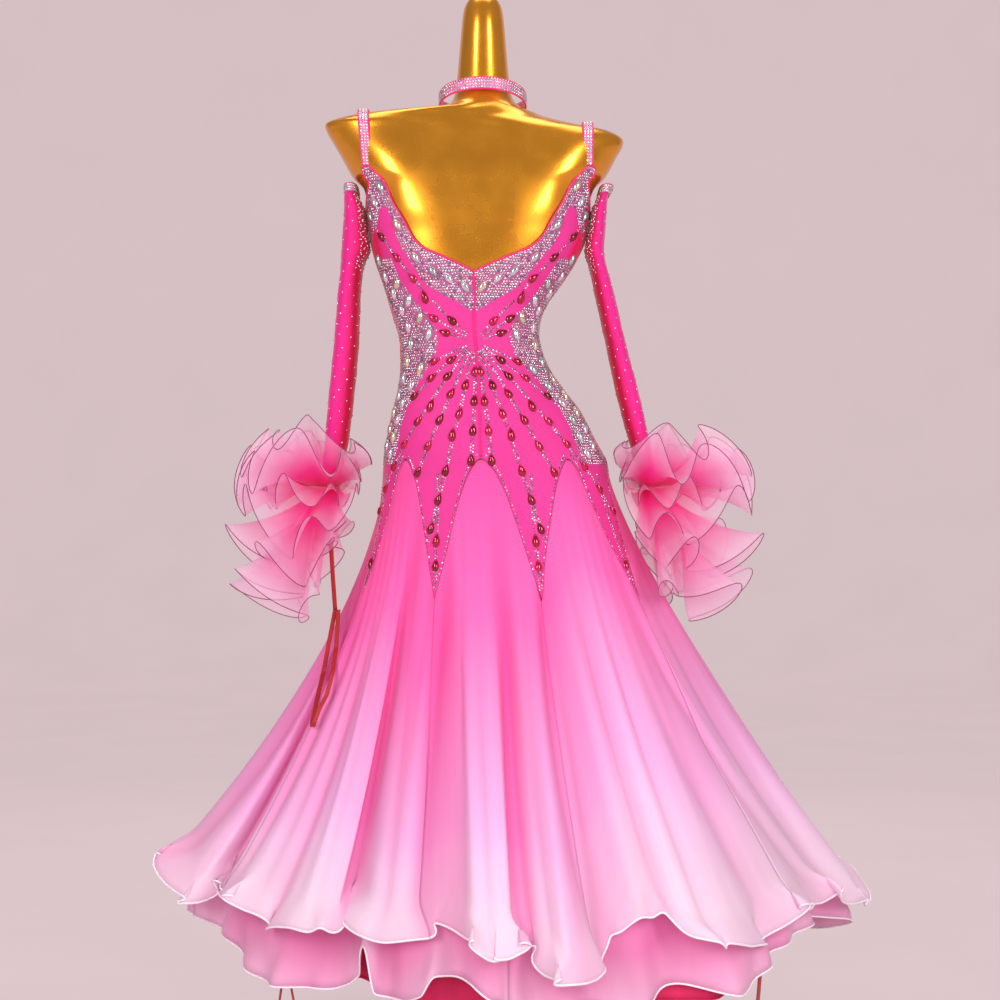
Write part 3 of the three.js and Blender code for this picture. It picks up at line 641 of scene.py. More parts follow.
@dataclass(frozen=True)
class Organza:
    """Crisp or soft sheer cloth coloured along `fall`, darker where `hollow` rises: painted shade.

    Args: stops, deep: colour ramps along fall, deep being painted shade. glow: share of light let
    through.
        clear, clear_low: share that is seen through at the hem and from its top down to clear_from.
        streak: strength of its lengthwise streaks.
    """

    name: str
    stops: tuple
    deep: tuple
    glow: float = 0.35
    clear: float = 0.0
    streak: float = 0.05
    rough: float = 0.55
    sheen: float = 0.3
    clear_from: float = 0.0
    clear_low: float = 0.0

    def build(self) -> bpy.types.Material:
        """Returns the material."""
        n = Nodes(self.name)
        fall = n.mark("fall")
        # The ramp along fall, darkened toward the deep ramp where `hollow` rises: painted shade in
        # the folds.
        ramp_with_shade = n.mix(n.mark("hollow"), n.ramp(fall, self.stops), n.ramp(fall, self.deep))
        cloud = n.noise((26, 1.6, 1), 1.0, 2)
        silk = n.ramp(cloud, [(0.3, (1 - self.streak,) * 3), (0.7, (1.0,) * 3)])
        colour = n.mix(1.0, ramp_with_shade, silk, "MULTIPLY")
        weave = n.noise((1, 1, 1), 1400, 1, uv=False)
        normal = n.bump(weave, 0.12, 0.0004)
        top = n.principled(
            {
                "Base Color": colour,
                "Roughness": self.rough,
                "Sheen Weight": self.sheen,
                "Sheen Roughness": 0.4,
                "Normal": normal,
                "Specular IOR Level": 0.25,
            }
        )
        cloth = n.glow(self.glow, top, colour)
        if self.clear:
            gap = n.add("ShaderNodeBsdfTransparent").outputs[0]
            cloth = n.blend(n.spread(fall, self.clear_low, self.clear, self.clear_from), cloth, gap)
        return n.close(cloth)


@dataclass(frozen=True)
class Stretch:
    """Matt stretch cloth with a fine knit, darker where `hollow` rises: painted shade."""

    name: str
    colour: Colour
    deep: Colour
    glow: float = 0.0
    stone_gap_shade: Colour | None = None

    def build(self) -> bpy.types.Material:
        """Returns the material."""
        n = Nodes(self.name)
        patch = n.noise((1, 1, 1), 14, 2, uv=False)
        # Painted shade: darker toward the deep colour where `hollow` rises.
        base = n.mix(n.mark("hollow"), self.colour, self.deep)
        # Painted shade between the stones: darker under the crusted bands.
        if self.stone_gap_shade:
            base = n.mix(n.mark("crust"), base, self.stone_gap_shade)
        tone = n.ramp(patch, [(0.35, (0.92,) * 3), (0.65, (1.0,) * 3)])
        colour = n.mix(1.0, base, tone, "MULTIPLY")
        knit = n.noise((1, 1, 0.45), 1100, 1, uv=False)
        normal = n.bump(knit, 0.25, 0.0005)
        top = n.principled(
            {
                "Base Color": colour,
                "Roughness": 0.62,
                "Sheen Weight": 0.35,
                "Sheen Roughness": 0.35,
                "Normal": normal,
                "Specular IOR Level": 0.3,
            }
        )
        return n.close(n.glow(self.glow, top, colour) if self.glow else top)


@dataclass(frozen=True)
class Lacquer:
    """Glossy metallic lacquer with faint unevenness."""

    name: str
    colour: Colour
    rough: float
    metallic: float = 1.0

    def build(self) -> bpy.types.Material:
        """Returns the material."""
        n = Nodes(self.name)
        ripple = n.noise((1, 1, 1), 22, 3, uv=False)
        rough = n.spread(ripple, self.rough * 0.8, self.rough * 1.35)
        tone = n.ramp(ripple, [(0.3, tuple(c * 0.9 for c in self.colour)), (0.7, self.colour)])
        normal = n.bump(ripple, 0.03, 0.002)
        return n.close(
            n.principled(
                {
                    "Base Color": tone,
                    "Metallic": self.metallic,
                    "Roughness": rough,
                    "Normal": normal,
                    "Coat Weight": 0.35,
                    "Coat Roughness": 0.08,
                }
            )
        )


@dataclass(frozen=True)
class Gemstone:
    """Cut glass: each stone's colour comes from its own `tint`."""

    name: str
    metallic: float
    rough: float = 0.07

    def build(self) -> bpy.types.Material:
        """Returns the material."""
        n = Nodes(self.name)
        tint = n.add("ShaderNodeAttribute", attribute_name="tint").outputs["Color"]
        fleck = n.noise((1, 1, 1), 160, 2, uv=False)
        tone = n.ramp(fleck, [(0.35, (0.8,) * 3), (0.6, (1.0,) * 3)])
        return n.close(
            n.principled(
                {
                    "Base Color": n.mix(1.0, tint, tone, "MULTIPLY"),
                    "Metallic": self.metallic,
                    "Roughness": self.rough,
                    "Coat Weight": 1.0,
                    "Coat Roughness": 0.02,
                }
            )
        )


@dataclass(frozen=True)
class Satin:
    """Smooth satin with a soft lengthwise sheen."""

    name: str
    colour: Colour
    rough: float = 0.38

    def build(self) -> bpy.types.Material:
        """Returns the material."""
        n = Nodes(self.name)
        rib = n.noise((300, 6, 1), 1.0, 2)
        tone = n.ramp(rib, [(0.3, tuple(c * 0.8 for c in self.colour)), (0.7, self.colour)])
        normal = n.bump(rib, 0.15, 0.0004)
        return n.close(
            n.principled(
                {
                    "Base Color": tone,
                    "Roughness": self.rough,
                    "Normal": normal,
                    "Sheen Weight": 0.2,
                    "Anisotropic": 0.4,
                }
            )
        )


SKIRT_TOP, SKIRT_MID = rgb(255, 90, 180), rgb(255, 120, 200)
SKIRT_LOW, SKIRT_HEM = rgb(254, 194, 240), rgb(255, 236, 250)
# Colours that the skirt takes deep in its folds, mixed in by `hollow`: painted shade.
SHADE_TOP, SHADE_MID = rgb(250, 40, 144), rgb(250, 78, 168)
SHADE_LOW, SHADE_HEM = rgb(248, 128, 198), rgb(252, 182, 224)


def cloth_finishes() -> dict[Slot, bpy.types.Material]:
    """Returns one material for each of the record's slots."""
    return {
        Slot.SKIRT: Organza(
            "skirt organza",
            ((0, SKIRT_TOP), (0.32, SKIRT_MID), (0.74, SKIRT_LOW), (0.95, SKIRT_HEM)),
            ((0, SHADE_TOP), (0.35, SHADE_MID), (0.78, SHADE_LOW), (1, SHADE_HEM)),
            glow=0.3,
            clear=0.3,
            clear_from=0.82,
        ).build(),
        Slot.UNDER: Organza(
            "second layer organza",
            (
                (0, SKIRT_MID),
                (0.5, rgb(246, 128, 194)),
                (0.85, rgb(242, 142, 196)),
                (1, rgb(250, 200, 230)),
            ),
            (
                (0, SHADE_MID),
                (0.5, rgb(238, 84, 160)),
                (0.85, rgb(238, 110, 176)),
                (1, rgb(246, 170, 214)),
            ),
            glow=0.3,
        ).build(),
        # The lining's deep pink is partly painted shade: it stands for the skirt's inside in
        # shadow.
        Slot.LINING: Organza(
            "inner deep pink",
            ((0, rgb(225, 35, 95)), (1, rgb(232, 50, 108))),
            ((0, rgb(190, 20, 70)), (1, rgb(200, 30, 84))),
            glow=0.2,
        ).build(),
        # The ruffle pales from the cuff to the rim, partly as painted light let through the sheer
        # rim.
        Slot.RUFFLE: Organza(
            "ruffle organza",
            ((0, rgb(246, 22, 138)), (0.4, rgb(255, 84, 182)), (1, rgb(255, 222, 244))),
            ((0, rgb(240, 10, 112)), (0.4, rgb(254, 54, 160)), (1, rgb(255, 192, 232))),
            glow=0.45,
            clear=0.56,
            clear_from=0.25,
            clear_low=0.3,
            rough=0.4,
        ).build(),
        # The bodice is painted darker at its sides, under the arms and under the crusted bands, as
        # shade.
        Slot.STRETCH: Stretch(
            "bodice stretch", rgb(218, 50, 140), rgb(216, 14, 84), stone_gap_shade=rgb(170, 84, 132)
        ).build(),
        # The sleeve's darker red inner side is painted shade.
        Slot.SLEEVE: Stretch(
            "sleeve stretch", rgb(250, 40, 156), rgb(212, 6, 62), glow=0.25
        ).build(),
        Slot.ZIP: Stretch("zip tape", rgb(240, 36, 138), rgb(200, 16, 92)).build(),
        Slot.BAND: Satin("band satin", rgb(238, 110, 170), 0.4).build(),
        Slot.RIBBON: Satin("red ribbon satin", rgb(168, 0, 12), 0.5).build(),
        Slot.FORM: Lacquer("gold lacquer", rgb(240, 160, 40), 0.25, 0.84).build(),
        Slot.STAND: Lacquer("stand gold lacquer", rgb(212, 148, 52), 0.28).build(),
        Slot.STONE: Gemstone("cut stones", 0.75).build(),
    }


# ---- cloth shapes ------------------------------------------------------------------------------


def ease(a: float, b: float, x: Array) -> Array:
    """Returns a smooth step from 0 at a to 1 at b."""
    t = np.clip((np.asarray(x, float) - a) / (b - a), 0, 1)
    return t * t * (3 - 2 * t)


def apart(v: Array, centre: Array | float) -> Array:
    """Returns the signed angle from centre to v, from -180 to 180."""
    return np.mod(v - centre + 180, 360) - 180


def bell(v: Array, centre: float, width: float) -> Array:
    """Returns a smooth bump over the bearing, 1 at the centre."""
    return np.exp(-((apart(v, centre) / width) ** 2))


def bumps(v: Array, rows: Sequence[tuple[float, float, float]]) -> Array:
    """Returns the sum of bumps given as centre, width and height."""
    return sum(high * bell(v, centre, width) for centre, width, high in rows)


def lengths(line: Array) -> Array:
    """Returns the length along a line up to each of its places."""
    return np.concatenate([[0], np.cumsum(np.linalg.norm(np.diff(line, axis=0), axis=1))])


class Creases:
    """Creases laid down the skirt, over its own deep folds.

    Each row holds the crease's bearing high, halfway and at the hem, how far down it starts,
    its depth in millimetres (raised when negative), and its half-widths to either side.
    """

    ROWS = [
        (-18.3, -21.7, -22.5, 0.16, 7.0, 1.6, 3.6),
        (-39.2, -36.4, -38.6, 0.12, 8.0, 3.4, 1.5),
        (-11.7, -13.6, -14.8, 0.22, 5.0, 2.4, 1.2),
        (-3.6, -5.2, -6.4, 0.34, 2.6, 2.0, 1.4),
        (7.2, 4.8, 1.6, 0.18, 6.5, 1.3, 3.2),
        (12.8, 11.8, 12.6, 0.42, 3.0, 1.5, 2.1),
        (22.9, 20.6, 23.6, 0.12, 8.0, 1.3, 4.2),
        (29.0, 30.6, 31.5, 0.3, 4.0, 2.4, 1.1),
        (36.5, 38.4, 41.0, 0.22, 5.0, 1.6, 3.0),
        (47.0, 48.5, 49.6, 0.16, 4.5, 1.2, 2.7),
        (62.4, 67.3, 77.5, 0.14, 4.5, 2.6, 1.2),
        (54.6, 58.4, 62.4, 0.38, 4.0, 1.3, 2.6),
        (74.0, 76.4, 83.0, 0.26, 4.0, 1.6, 2.4),
        (86.0, 88.0, 91.0, 0.2, 5.0, 2.2, 1.4),
        (-28.6, -29.4, -27.4, 0.36, 3.4, 1.2, 2.2),
        (-49.0, -47.4, -46.6, 0.2, -4.0, 2.0, 1.2),
        (-53.5, -53.2, -55.0, 0.26, 5.5, 1.3, 2.8),
        (-62.4, -64.0, -66.0, 0.18, 6.0, 2.6, 1.4),
        (-72.0, -73.5, -71.5, 0.32, 4.0, 1.4, 2.2),
        (-82.5, -84.0, -88.0, 0.22, 5.0, 2.4, 1.3),
        (100.0, 101.5, 103.0, 0.24, 6.0, 1.6, 2.9),
        (109.0, 111.0, 109.5, 0.14, 6.0, 2.8, 1.4),
        (119.5, 118.0, 121.0, 0.34, 4.0, 1.3, 2.3),
        (128.0, 126.5, 125.0, 0.2, 5.0, 2.0, 1.5),
        (137.5, 139.0, 140.5, 0.26, 6.5, 1.4, 3.1),
        (149.0, 148.0, 146.0, 0.4, 3.5, 1.5, 2.0),
        (158.5, 156.5, 159.5, 0.12, 7.0, 3.0, 1.4),
        (168.0, 169.5, 167.0, 0.28, 4.5, 1.4, 2.4),
        (178.5, 177.0, 179.5, 0.2, 6.0, 1.5, 3.2),
        (188.0, 189.5, 191.0, 0.36, 4.0, 2.2, 1.3),
        (200.5, 202.0, 200.0, 0.14, 7.0, 1.5, 3.2),
        (211.0, 212.5, 214.0, 0.3, 5.0, 2.4, 1.4),
        (221.5, 220.0, 223.0, 0.2, 5.5, 1.4, 2.8),
        (233.0, 234.5, 232.0, 0.34, 4.0, 2.0, 1.5),
        (245.5, 247.0, 246.0, 0.14, 7.0, 2.8, 1.3),
        (256.0, 257.5, 259.5, 0.26, 5.0, 1.3, 2.6),
    ]
    # Bearings where the skirt turns pale sooner and later down its length, and where the painted
    # shade of its folds is weaker.
    SOONER = ((44, 15, 1.0), (-50, 7, 0.25), (76, 14, 0.9), (140, 16, 0.8), (215, 12, 0.7))
    LATER = ((-70, 13, 1.2), (-26, 9, 1.4), (20, 3, 0.4))
    SHALLOW = ((44, 17, 0.45), (80, 14, 0.55))

    def __init__(self) -> None:
        """Finds the folds that the hem's own curve makes, as a deepness over v for the painted
        shade.
        """
        v = np.arange(0, 360, 0.5)
        low = GOWN.face(v, GOWN.hem(v)[:, 2] + 60)
        radius = np.hypot(low[:, 0] - 40, low[:, 1])
        wide = np.ones(45) / 45
        mean = np.convolve(np.concatenate([radius[-22:], radius, radius[:22]]), wide, "valid")
        self.v = np.append(v, 360)
        self.valley = np.append(np.clip((mean - radius) / 34 + 0.1, 0, 1), 0)
        self.valley[-1] = self.valley[0]

    @staticmethod
    def fall(v: Array, z: Array) -> Array:
        """Returns how far down the skirt a place lies, 0 at the hips and 1 at the hem."""
        return np.clip((SIZES.flare_z - z) / (SIZES.flare_z - GOWN.hem(v)[..., 2]), 0, 1)

    def shift(self, v: Array, z: Array) -> Array:
        """Returns the creases' displacement along the normal, in millimetres."""
        fall = self.fall(v, z)
        out = np.zeros_like(fall)
        for high, half, low, start, depth, before, after in self.ROWS:
            near, dip = self.profile(v, fall, high, half, low, before, after)
            out -= depth * near * ease(start, start + 0.35, fall)
            out += 0.3 * abs(depth) * dip * ease(start, start + 0.35, fall)
        fine = np.sin(np.radians(v) * 61 + 2.2 * np.sin(np.radians(v) * 7)) * ease(0.02, 0.2, fall)
        soft = np.sin(np.radians(v) * 97 + 1.7 * np.sin(np.radians(v) * 5))
        soft = soft * np.sin(fall * 9 + v * 0.2)
        return out + 0.4 * fine * (1 - 0.6 * fall) + 0.25 * soft * fall

    def place(self, v: Array, z: Array) -> Array:
        """Returns the outer skirt's face with its creases and its rolling hem."""
        fall = self.fall(v, z)
        roll = np.radians(v) * 18 + 2.4 * np.sin(np.radians(v) * 5) + 0.7
        lip = ease(0.9, 1, fall) ** 1.5
        small = np.sin(np.radians(v) * 47 + 2 * np.sin(np.radians(v) * 9))
        out = self.shift(v, z) + (9 + 12 * np.sin(roll) + 2 * small) * lip
        p = GOWN.off(v + 2.1 * np.sin(2 * roll) * lip, z, out)
        p[..., 2] += (9 * np.maximum(0, np.sin(roll)) + 3 * small) * lip
        return p

    @staticmethod
    def profile(
        v: Array, fall: Array, high: float, half: float, low: float, before: float, after: float
    ) -> tuple[Array, Array]:
        """Returns a crease's hollow and the swell beside it."""
        t = np.clip((fall - 0.2) / 0.8, 0, 1)
        centre = high * (1 - t) * (1 - 2 * t) + half * 4 * t * (1 - t) + low * t * (2 * t - 1)
        away = apart(v, centre)
        width = np.where(away < 0, before, after)
        swell = np.exp(-(((np.abs(away) - 2.4 * width) / width) ** 2))
        return 1 / (1 + (away / width) ** 2) ** 1.5, swell

    def dye(self, v: Array, z: Array) -> Array:
        """Returns how pale the skirt is, 0 to 1: paler toward the hem, and sooner on the broad
        panels.
        """
        fall = self.fall(v, z)
        shift = 0.17 * bumps(v, self.SOONER) - 0.1 * bumps(v, self.LATER)
        return np.clip(fall + shift * np.sin(np.pi * fall**0.8), 0, 1)

    def hollow(self, v: Array, z: Array) -> Array:
        """Returns how deep in a fold a place lies, 0 to 1, which darkens the cloth: painted shade
        in the folds.
        """
        fall = self.fall(v, z)
        valley = np.interp(np.mod(v, 360), self.v, self.valley)
        out = valley * (0.35 + 0.65 * fall) * ease(0.05, 0.3, fall)
        for high, half, low, start, depth, before, after in self.ROWS:
            near, _ = self.profile(v, fall, high, half, low, before, after)
            out += 0.075 * depth * near * ease(start, start + 0.3, fall) * (1 - 0.15 * fall)
        # Darker along the seams between the godets, less so toward the hem.
        out += 0.35 * bell(np.mod(v, SIZES.godet_deg), SIZES.godet_deg / 2, 1.1) * (1 - 0.9 * fall)
        # Painted shade low on the left side of the skirt.
        out += 0.6 * bell(v, -94, 12) * fall**2
        # Painted shade in the crease at bearing 19.
        out += 0.5 * bell(v, 19, 2.2) * ease(0.6, 0.9, fall)
        out *= 1 - bumps(v, self.SHALLOW)
        return np.clip(out, 0, 1)


CREASES = Creases()


class Inside:
    """Radius of the layers inside the skirt, kept within every fold of the outer one."""

    AXIS = 40.0  # x of the skirt's axis
    STEP = 36.0  # between the levels that are measured
    LOW = 192.0  # height of the lowest of them
    HIGH = 640.0  # height that the highest is above

    def __init__(self) -> None:
        """Measures the outer layer at each level."""
        levels = np.arange(self.LOW, self.HIGH + self.STEP + 1, self.STEP)
        self.tables = np.array([self.level(z) for z in levels])

    def level(self, z: float) -> Array:
        """Returns the eroded and smoothed inner radius for each degree of bearing."""
        v = np.arange(0, 360, 0.5)
        p = GOWN.face(v, np.maximum(z, GOWN.hem(v)[:, 2]))
        bearing = np.degrees(np.arctan2(p[:, 0] - self.AXIS, -p[:, 1]))
        slot = np.mod(np.round(bearing).astype(int), 360)
        table = np.full(360, np.inf)
        np.minimum.at(table, slot, np.hypot(p[:, 0] - self.AXIS, p[:, 1]))
        for i in range(1, 720):
            if np.isinf(table[i % 360]):
                table[i % 360] = table[(i - 1) % 360]
        least = np.min([np.roll(table, k) for k in range(-5, 6)], axis=0)
        return np.mean([np.roll(least, k) for k in range(-4, 5)], axis=0)

    def radius(self, z: Array, bearing: Array) -> Array:
        """Returns the inner radius at each height and bearing."""
        place = np.maximum(0, (z - self.LOW) / self.STEP)
        level = np.minimum(np.floor(place).astype(int), len(self.tables) - 2)
        whole = np.floor(bearing).astype(int)
        part = bearing - whole

        def on(k: Array) -> Array:
            here, after = self.tables[k, whole % 360], self.tables[k, (whole + 1) % 360]
            return here * (1 - part) + after * part

        return on(level) + (on(level + 1) - on(level)) * (place - level)

    def place(self, bearing: Array, z: Array, radius: Array) -> Array:
        """Returns the point at a bearing, height and radius from the skirt's axis."""
        a = np.radians(bearing)
        return np.stack([self.AXIS + radius * np.sin(a), -radius * np.cos(a), z + 0 * a], -1)


INSIDE = Inside()
NAMES = (
    "back_centre back_right side_right front_right front_centre front_left side_left back_left"
).split()
LINING_HEM = 134  # height of the lining's hem at the back and front
LINING_RISE = 95  # how much higher it hangs at the sides


@dataclass(frozen=True)
class Layer:
    """An inner layer's cut: heights, insets and flutes, in millimetres."""

    name: str
    slot: Slot
    top: float
    inset: float
    top_inset: float
    settle: float
    waves: int
    flute: float
    lettuce: float
    fine: float
    roll: float

    def hem(self, bearing: Array) -> Array:
        """Returns the layer's hem height at each bearing."""
        around = np.mod(bearing + 180, 360) - 180
        if self.slot is Slot.UNDER:
            low = UNDER_HEM.at("z", around)
        else:
            low = LINING_HEM + LINING_RISE * np.sin(np.radians(bearing)) ** 4
        return low + self.lettuce * np.sin(np.radians(bearing) * self.waves + 1.3)

    def point(self, bearing: Array, t: Array) -> Array:
        """Returns the layer's outer face, t running from its top to its hem."""
        z = self.top + (self.hem(bearing) - self.top) * t
        a = np.radians(bearing)
        inset = self.top_inset + (self.inset - self.top_inset) * np.minimum(1, t * self.settle)
        flute = self.flute * np.sin(a * self.waves + 0.5) * t**3
        fine = self.fine * np.sin(a * 53 + 2 * np.sin(a * 7)) * ease(0.3, 1, t)
        roll = self.roll + self.roll * np.sin(29 * a + 2.2 * np.sin(6 * a))
        fine += roll * ease(0.86, 1, t) ** 1.5
        return INSIDE.place(bearing, z, INSIDE.radius(z, bearing) - inset + flute + fine)


LAYERS = (
    Layer("underlayer", Slot.UNDER, 640, 14, 10, 2, 16, 5, 0, 1.4, 8),
    Layer("lining", Slot.LINING, 540, 36, 16.7, 3, 12, 3, 6, 1.2, 3),
)
HUNG_FROM = {
    "bodice_back_left": ("back_centre", "back_left", "side_left"),
    "bodice_back_right": ("back_centre", "back_right", "side_right"),
    "bodice_front": ("side_right", "front_right", "front_centre", "front_left", "side_left"),
}
QUARTERS = {"back_left": -90, "back_right": 0, "front_right": 90, "front_left": 180}


@dataclass(frozen=True)
class Tier:
    """One gathered tier of a cuff: its reach, and its angles above the level in degrees."""

    name: str
    z: float
    reach: float
    to_body: float
    back: float
    side: float
    front: float
    phase: float


TIERS = (
    Tier("upper", 849, 97, 72, 58, 28, 50, 0),
    Tier("middle", 847.1, 102, 60, -46, 2, 16, 0.12),
    Tier("lower", 844.7, 174, 72, -76, -71, -70, 0.24),
)

PETALS = (
    Tier("petal_a", 848.6, 100, 66, 30, 8, 30, 1.9),
    Tier("petal_b", 848.0, 56, 46, -8, -14, -4, 3.4),
    Tier("petal_c", 846.0, 128, 62, -60, -50, -44, 4.6),
)


class Cuff:
    """The ruffle round one cuff, pushed off the skirt where the two would meet."""

    CLEAR = 10  # kept between ruffle and skirt
    SOFT = 22  # how gently the ruffle is pushed off
    LIFT = 1.3  # of the face off the tier's middle
    HIGH, DEEP = 8.0, 4.0  # steps in height and depth of the skirt's side

    def __init__(self, side: str, x: float, lean: float, phase: float) -> None:
        """Args: side: left or right. x, lean: place and the rims' lean. phase: of its waves."""
        self.side, self.x, self.lean, self.phase = side, x, lean, phase
        self.away = math.copysign(1, x)
        self.heights = np.arange(600, 1081, self.HIGH)
        self.depths = np.arange(-320, 321, self.DEEP)
        v = np.arange(30, 150.5, 1)
        rows = []
        for z in self.heights:
            p = GOWN.face(self.away * v, np.full_like(v, z))
            order = np.argsort(p[:, 1])
            rows.append(np.interp(self.depths, p[order, 1], self.away * p[order, 0]))
        self.sides = np.array(rows)

    def skirt(self, y: Array, z: Array) -> Array:
        """Returns how far out the gown's side is at y and z."""
        i = np.clip((z - self.heights[0]) / self.HIGH, 0, len(self.heights) - 1.001)
        j = np.clip((y - self.depths[0]) / self.DEEP, 0, len(self.depths) - 1.001)
        a, b = np.floor(i).astype(int), np.floor(j).astype(int)
        u, w = i - a, j - b
        t = self.sides
        lower = t[a, b] * (1 - w) + t[a, b + 1] * w
        upper = t[a + 1, b] * (1 - w) + t[a + 1, b + 1] * w
        return lower * (1 - u) + upper * u

    def point(self, tier: Tier, s: Array, t: Array) -> Array:
        """Returns a tier's face, s running round the cuff and t from the cuff to the rim."""
        a = 2 * np.pi * s
        body = np.maximum(0, -self.away * np.sin(a)) ** 1.5
        waves = SIZES.ruffle_waves * a
        wave = np.sin(waves + self.phase + tier.phase)
        second = np.sin(2 * waves + 2 * self.phase)
        e0 = (tier.back + tier.front + 2 * tier.side) / 4
        level = e0 + (tier.back - tier.front) / 2 * np.cos(a)
        level += (tier.back + tier.front - 2 * tier.side) / 4 * np.cos(2 * a)
        steep = level + math.copysign(14, tier.back) * body * (0 if tier.name == "middle" else 1)
        swing = SIZES.ruffle_swing * (1 - 0.5 * body) * t
        frill = 3 * np.sin(9 * a + self.phase * 3 + tier.phase * 9) * t
        rise = np.radians(steep + swing * (wave + 0.12 * second) + frill * (1 - 0.6 * body))
        full = tier.reach + (tier.to_body - tier.reach) * body
        length = full * t * (1 + SIZES.ruffle_puff * np.cos(3 * a + self.phase) * (1 - body))
        flat = length * np.cos(rise)
        lean = self.lean * t * (1 - (body if tier.name == "upper" else 0))
        lift = self.LIFT + 6 * np.sin(waves + self.phase + tier.phase + 0.9) * t**4
        p = np.stack(
            [
                self.x + lean + (15.5 + flat - lift * np.sin(rise)) * np.sin(a),
                -34 * t * (1 + np.cos(a)) / 2 - (30 + flat - lift * np.sin(rise)) * np.cos(a),
                tier.z + length * np.sin(rise) + lift * np.cos(rise),
            ],
            -1,
        )
        d = self.away * p[:, 0] - self.skirt(p[:, 1], p[:, 2]) - self.CLEAR
        p[:, 0] += np.where(t > 0.001, self.away * ((d + np.hypot(d, self.SOFT)) / 2 - d), 0)
        return p


CUFFS = (Cuff("left", -226, -26, 0.4), Cuff("right", 253, 28, 2.1))


def sleeve_point(side: str, a: Array, z: Array, off: Array | float) -> Array:
    """Returns a sleeve's outer face at angle a in radians from the back, moved out by off."""
    table = SLEEVES[side]
    s, c = np.sin(a), np.cos(a)
    inner, outer = table.at("inner", z), table.at("outer", z)
    half = np.abs(outer - inner) / 2 + off
    depth = table.at("depth", z) + off
    power = 2 / 2.3
    x = (inner + outer) / 2 + half * np.sign(s) * np.abs(s) ** power
    return np.stack([x, -depth * np.sign(c) * np.abs(c) ** power, z + 0 * a], -1)


class Strap:
    """A strap's line over the shoulder."""

    STEPS = 9  # on each side of the top
    END = 1322.6  # height of its ends
    LIFT = 4.6  # of its middle off the form

    def __init__(self, side: str, low: float, high: float) -> None:
        """Args: side: left or right. low, high: its x at the ends and the top."""
        self.side = side
        top = self.END
        while self.reach(high, top) < 1:
            top += 0.5
        rows = []
        for face in ("back", "front"):
            for k in range(self.STEPS):
                t = (self.STEPS - k if face == "back" else k + 1) / self.STEPS
                z = top - (top - self.END) * t**2
                x = high + (low - high) * t**2
                n = FORM.at("n", z)
                depth = FORM.at(face, z) * max(1 - self.reach(x, z) ** n, 0) ** (1 / n)
                rows.append((x, -depth if face == "back" else depth, z))
        rough = np.array(rows)
        last = len(rough) - 1
        k = np.arange(len(rough))
        ahead = rough[np.minimum(k + 1, last)] - rough[np.maximum(k - 1, 0)]
        out = np.stack([0 * ahead[:, 0], -ahead[:, 2], ahead[:, 1]], -1)
        out /= np.linalg.norm(out, axis=1, keepdims=True)
        self.line = rough + self.LIFT * out
        self.out = out
        self.run = lengths(self.line)

    @staticmethod
    def reach(x: float, z: float) -> float:
        """Returns how far toward the form's side x lies at height z, 1 being its side."""
        left, right = float(FORM.at("left", z)), float(FORM.at("right", z))
        return abs(x - (left + right) / 2) / ((right - left) / 2)

    def at(self, s: Array) -> tuple[Array, Array]:
        """Returns the strap's middle and outward direction at s from 0 to 1."""
        where = s * self.run[-1]
        line = np.stack([np.interp(where, self.run, self.line[:, k]) for k in range(3)], -1)
        out = np.stack([np.interp(where, self.run, self.out[:, k]) for k in range(3)], -1)
        return line, out / np.linalg.norm(out, axis=-1, keepdims=True)

    def face(self, s: Array, across: Array, off: float) -> Array:
        """Returns a place across the strap, across running from -7.5 to 7.5."""
        line, out = self.at(s)
        line = line + out * off
        line[..., 0] += across
        return line


STRAPS = (Strap("left", -165, -173), Strap("right", 159, 160))


@dataclass(frozen=True)
class Choker:
    """The choker's line, in millimetres: it rises behind and falls in front."""

    x: float = 4
    z: float = 1427.5
    half: float = 63.2
    back: float = 51
    front: float = 73
    rise: float = 18
    drop: float = 5

    def point(self, a: Array, up: Array | float, off: float) -> Array:
        """Returns its face at angle a in radians, up running from -8.5 to 8.5."""
        c = np.cos(a)
        behind = c > 0
        depth = np.where(behind, self.back, self.front) + off
        reach = np.where(behind, c, -np.abs(c) ** 0.8)
        middle = self.z + np.where(behind, self.rise, -self.drop) * np.abs(c)
        return np.stack([self.x + (self.half + off) * np.sin(a), -depth * reach, middle + up], -1)


CHOKER = Choker()


# ---- stones ------------------------------------------------------------------------------------

SILVER = [
    rgb(236, 234, 244),
    rgb(255, 236, 246),
    rgb(214, 208, 222),
    rgb(246, 190, 220),
    rgb(226, 214, 190),
    rgb(176, 206, 214),
]
SMOKE = [rgb(120, 112, 128), rgb(176, 150, 176), rgb(96, 104, 118), rgb(210, 160, 190)]
RUBY = [rgb(190, 8, 56), rgb(150, 4, 40), rgb(214, 26, 84)]
CHAMPAGNE = [rgb(238, 226, 200), rgb(228, 236, 240), rgb(196, 212, 206), rgb(240, 220, 232)]


class Cut(Enum):
    """Outline of a cut stone."""

    ROUND = "round"
    NAVETTE = "navette"
    TEARDROP = "teardrop"


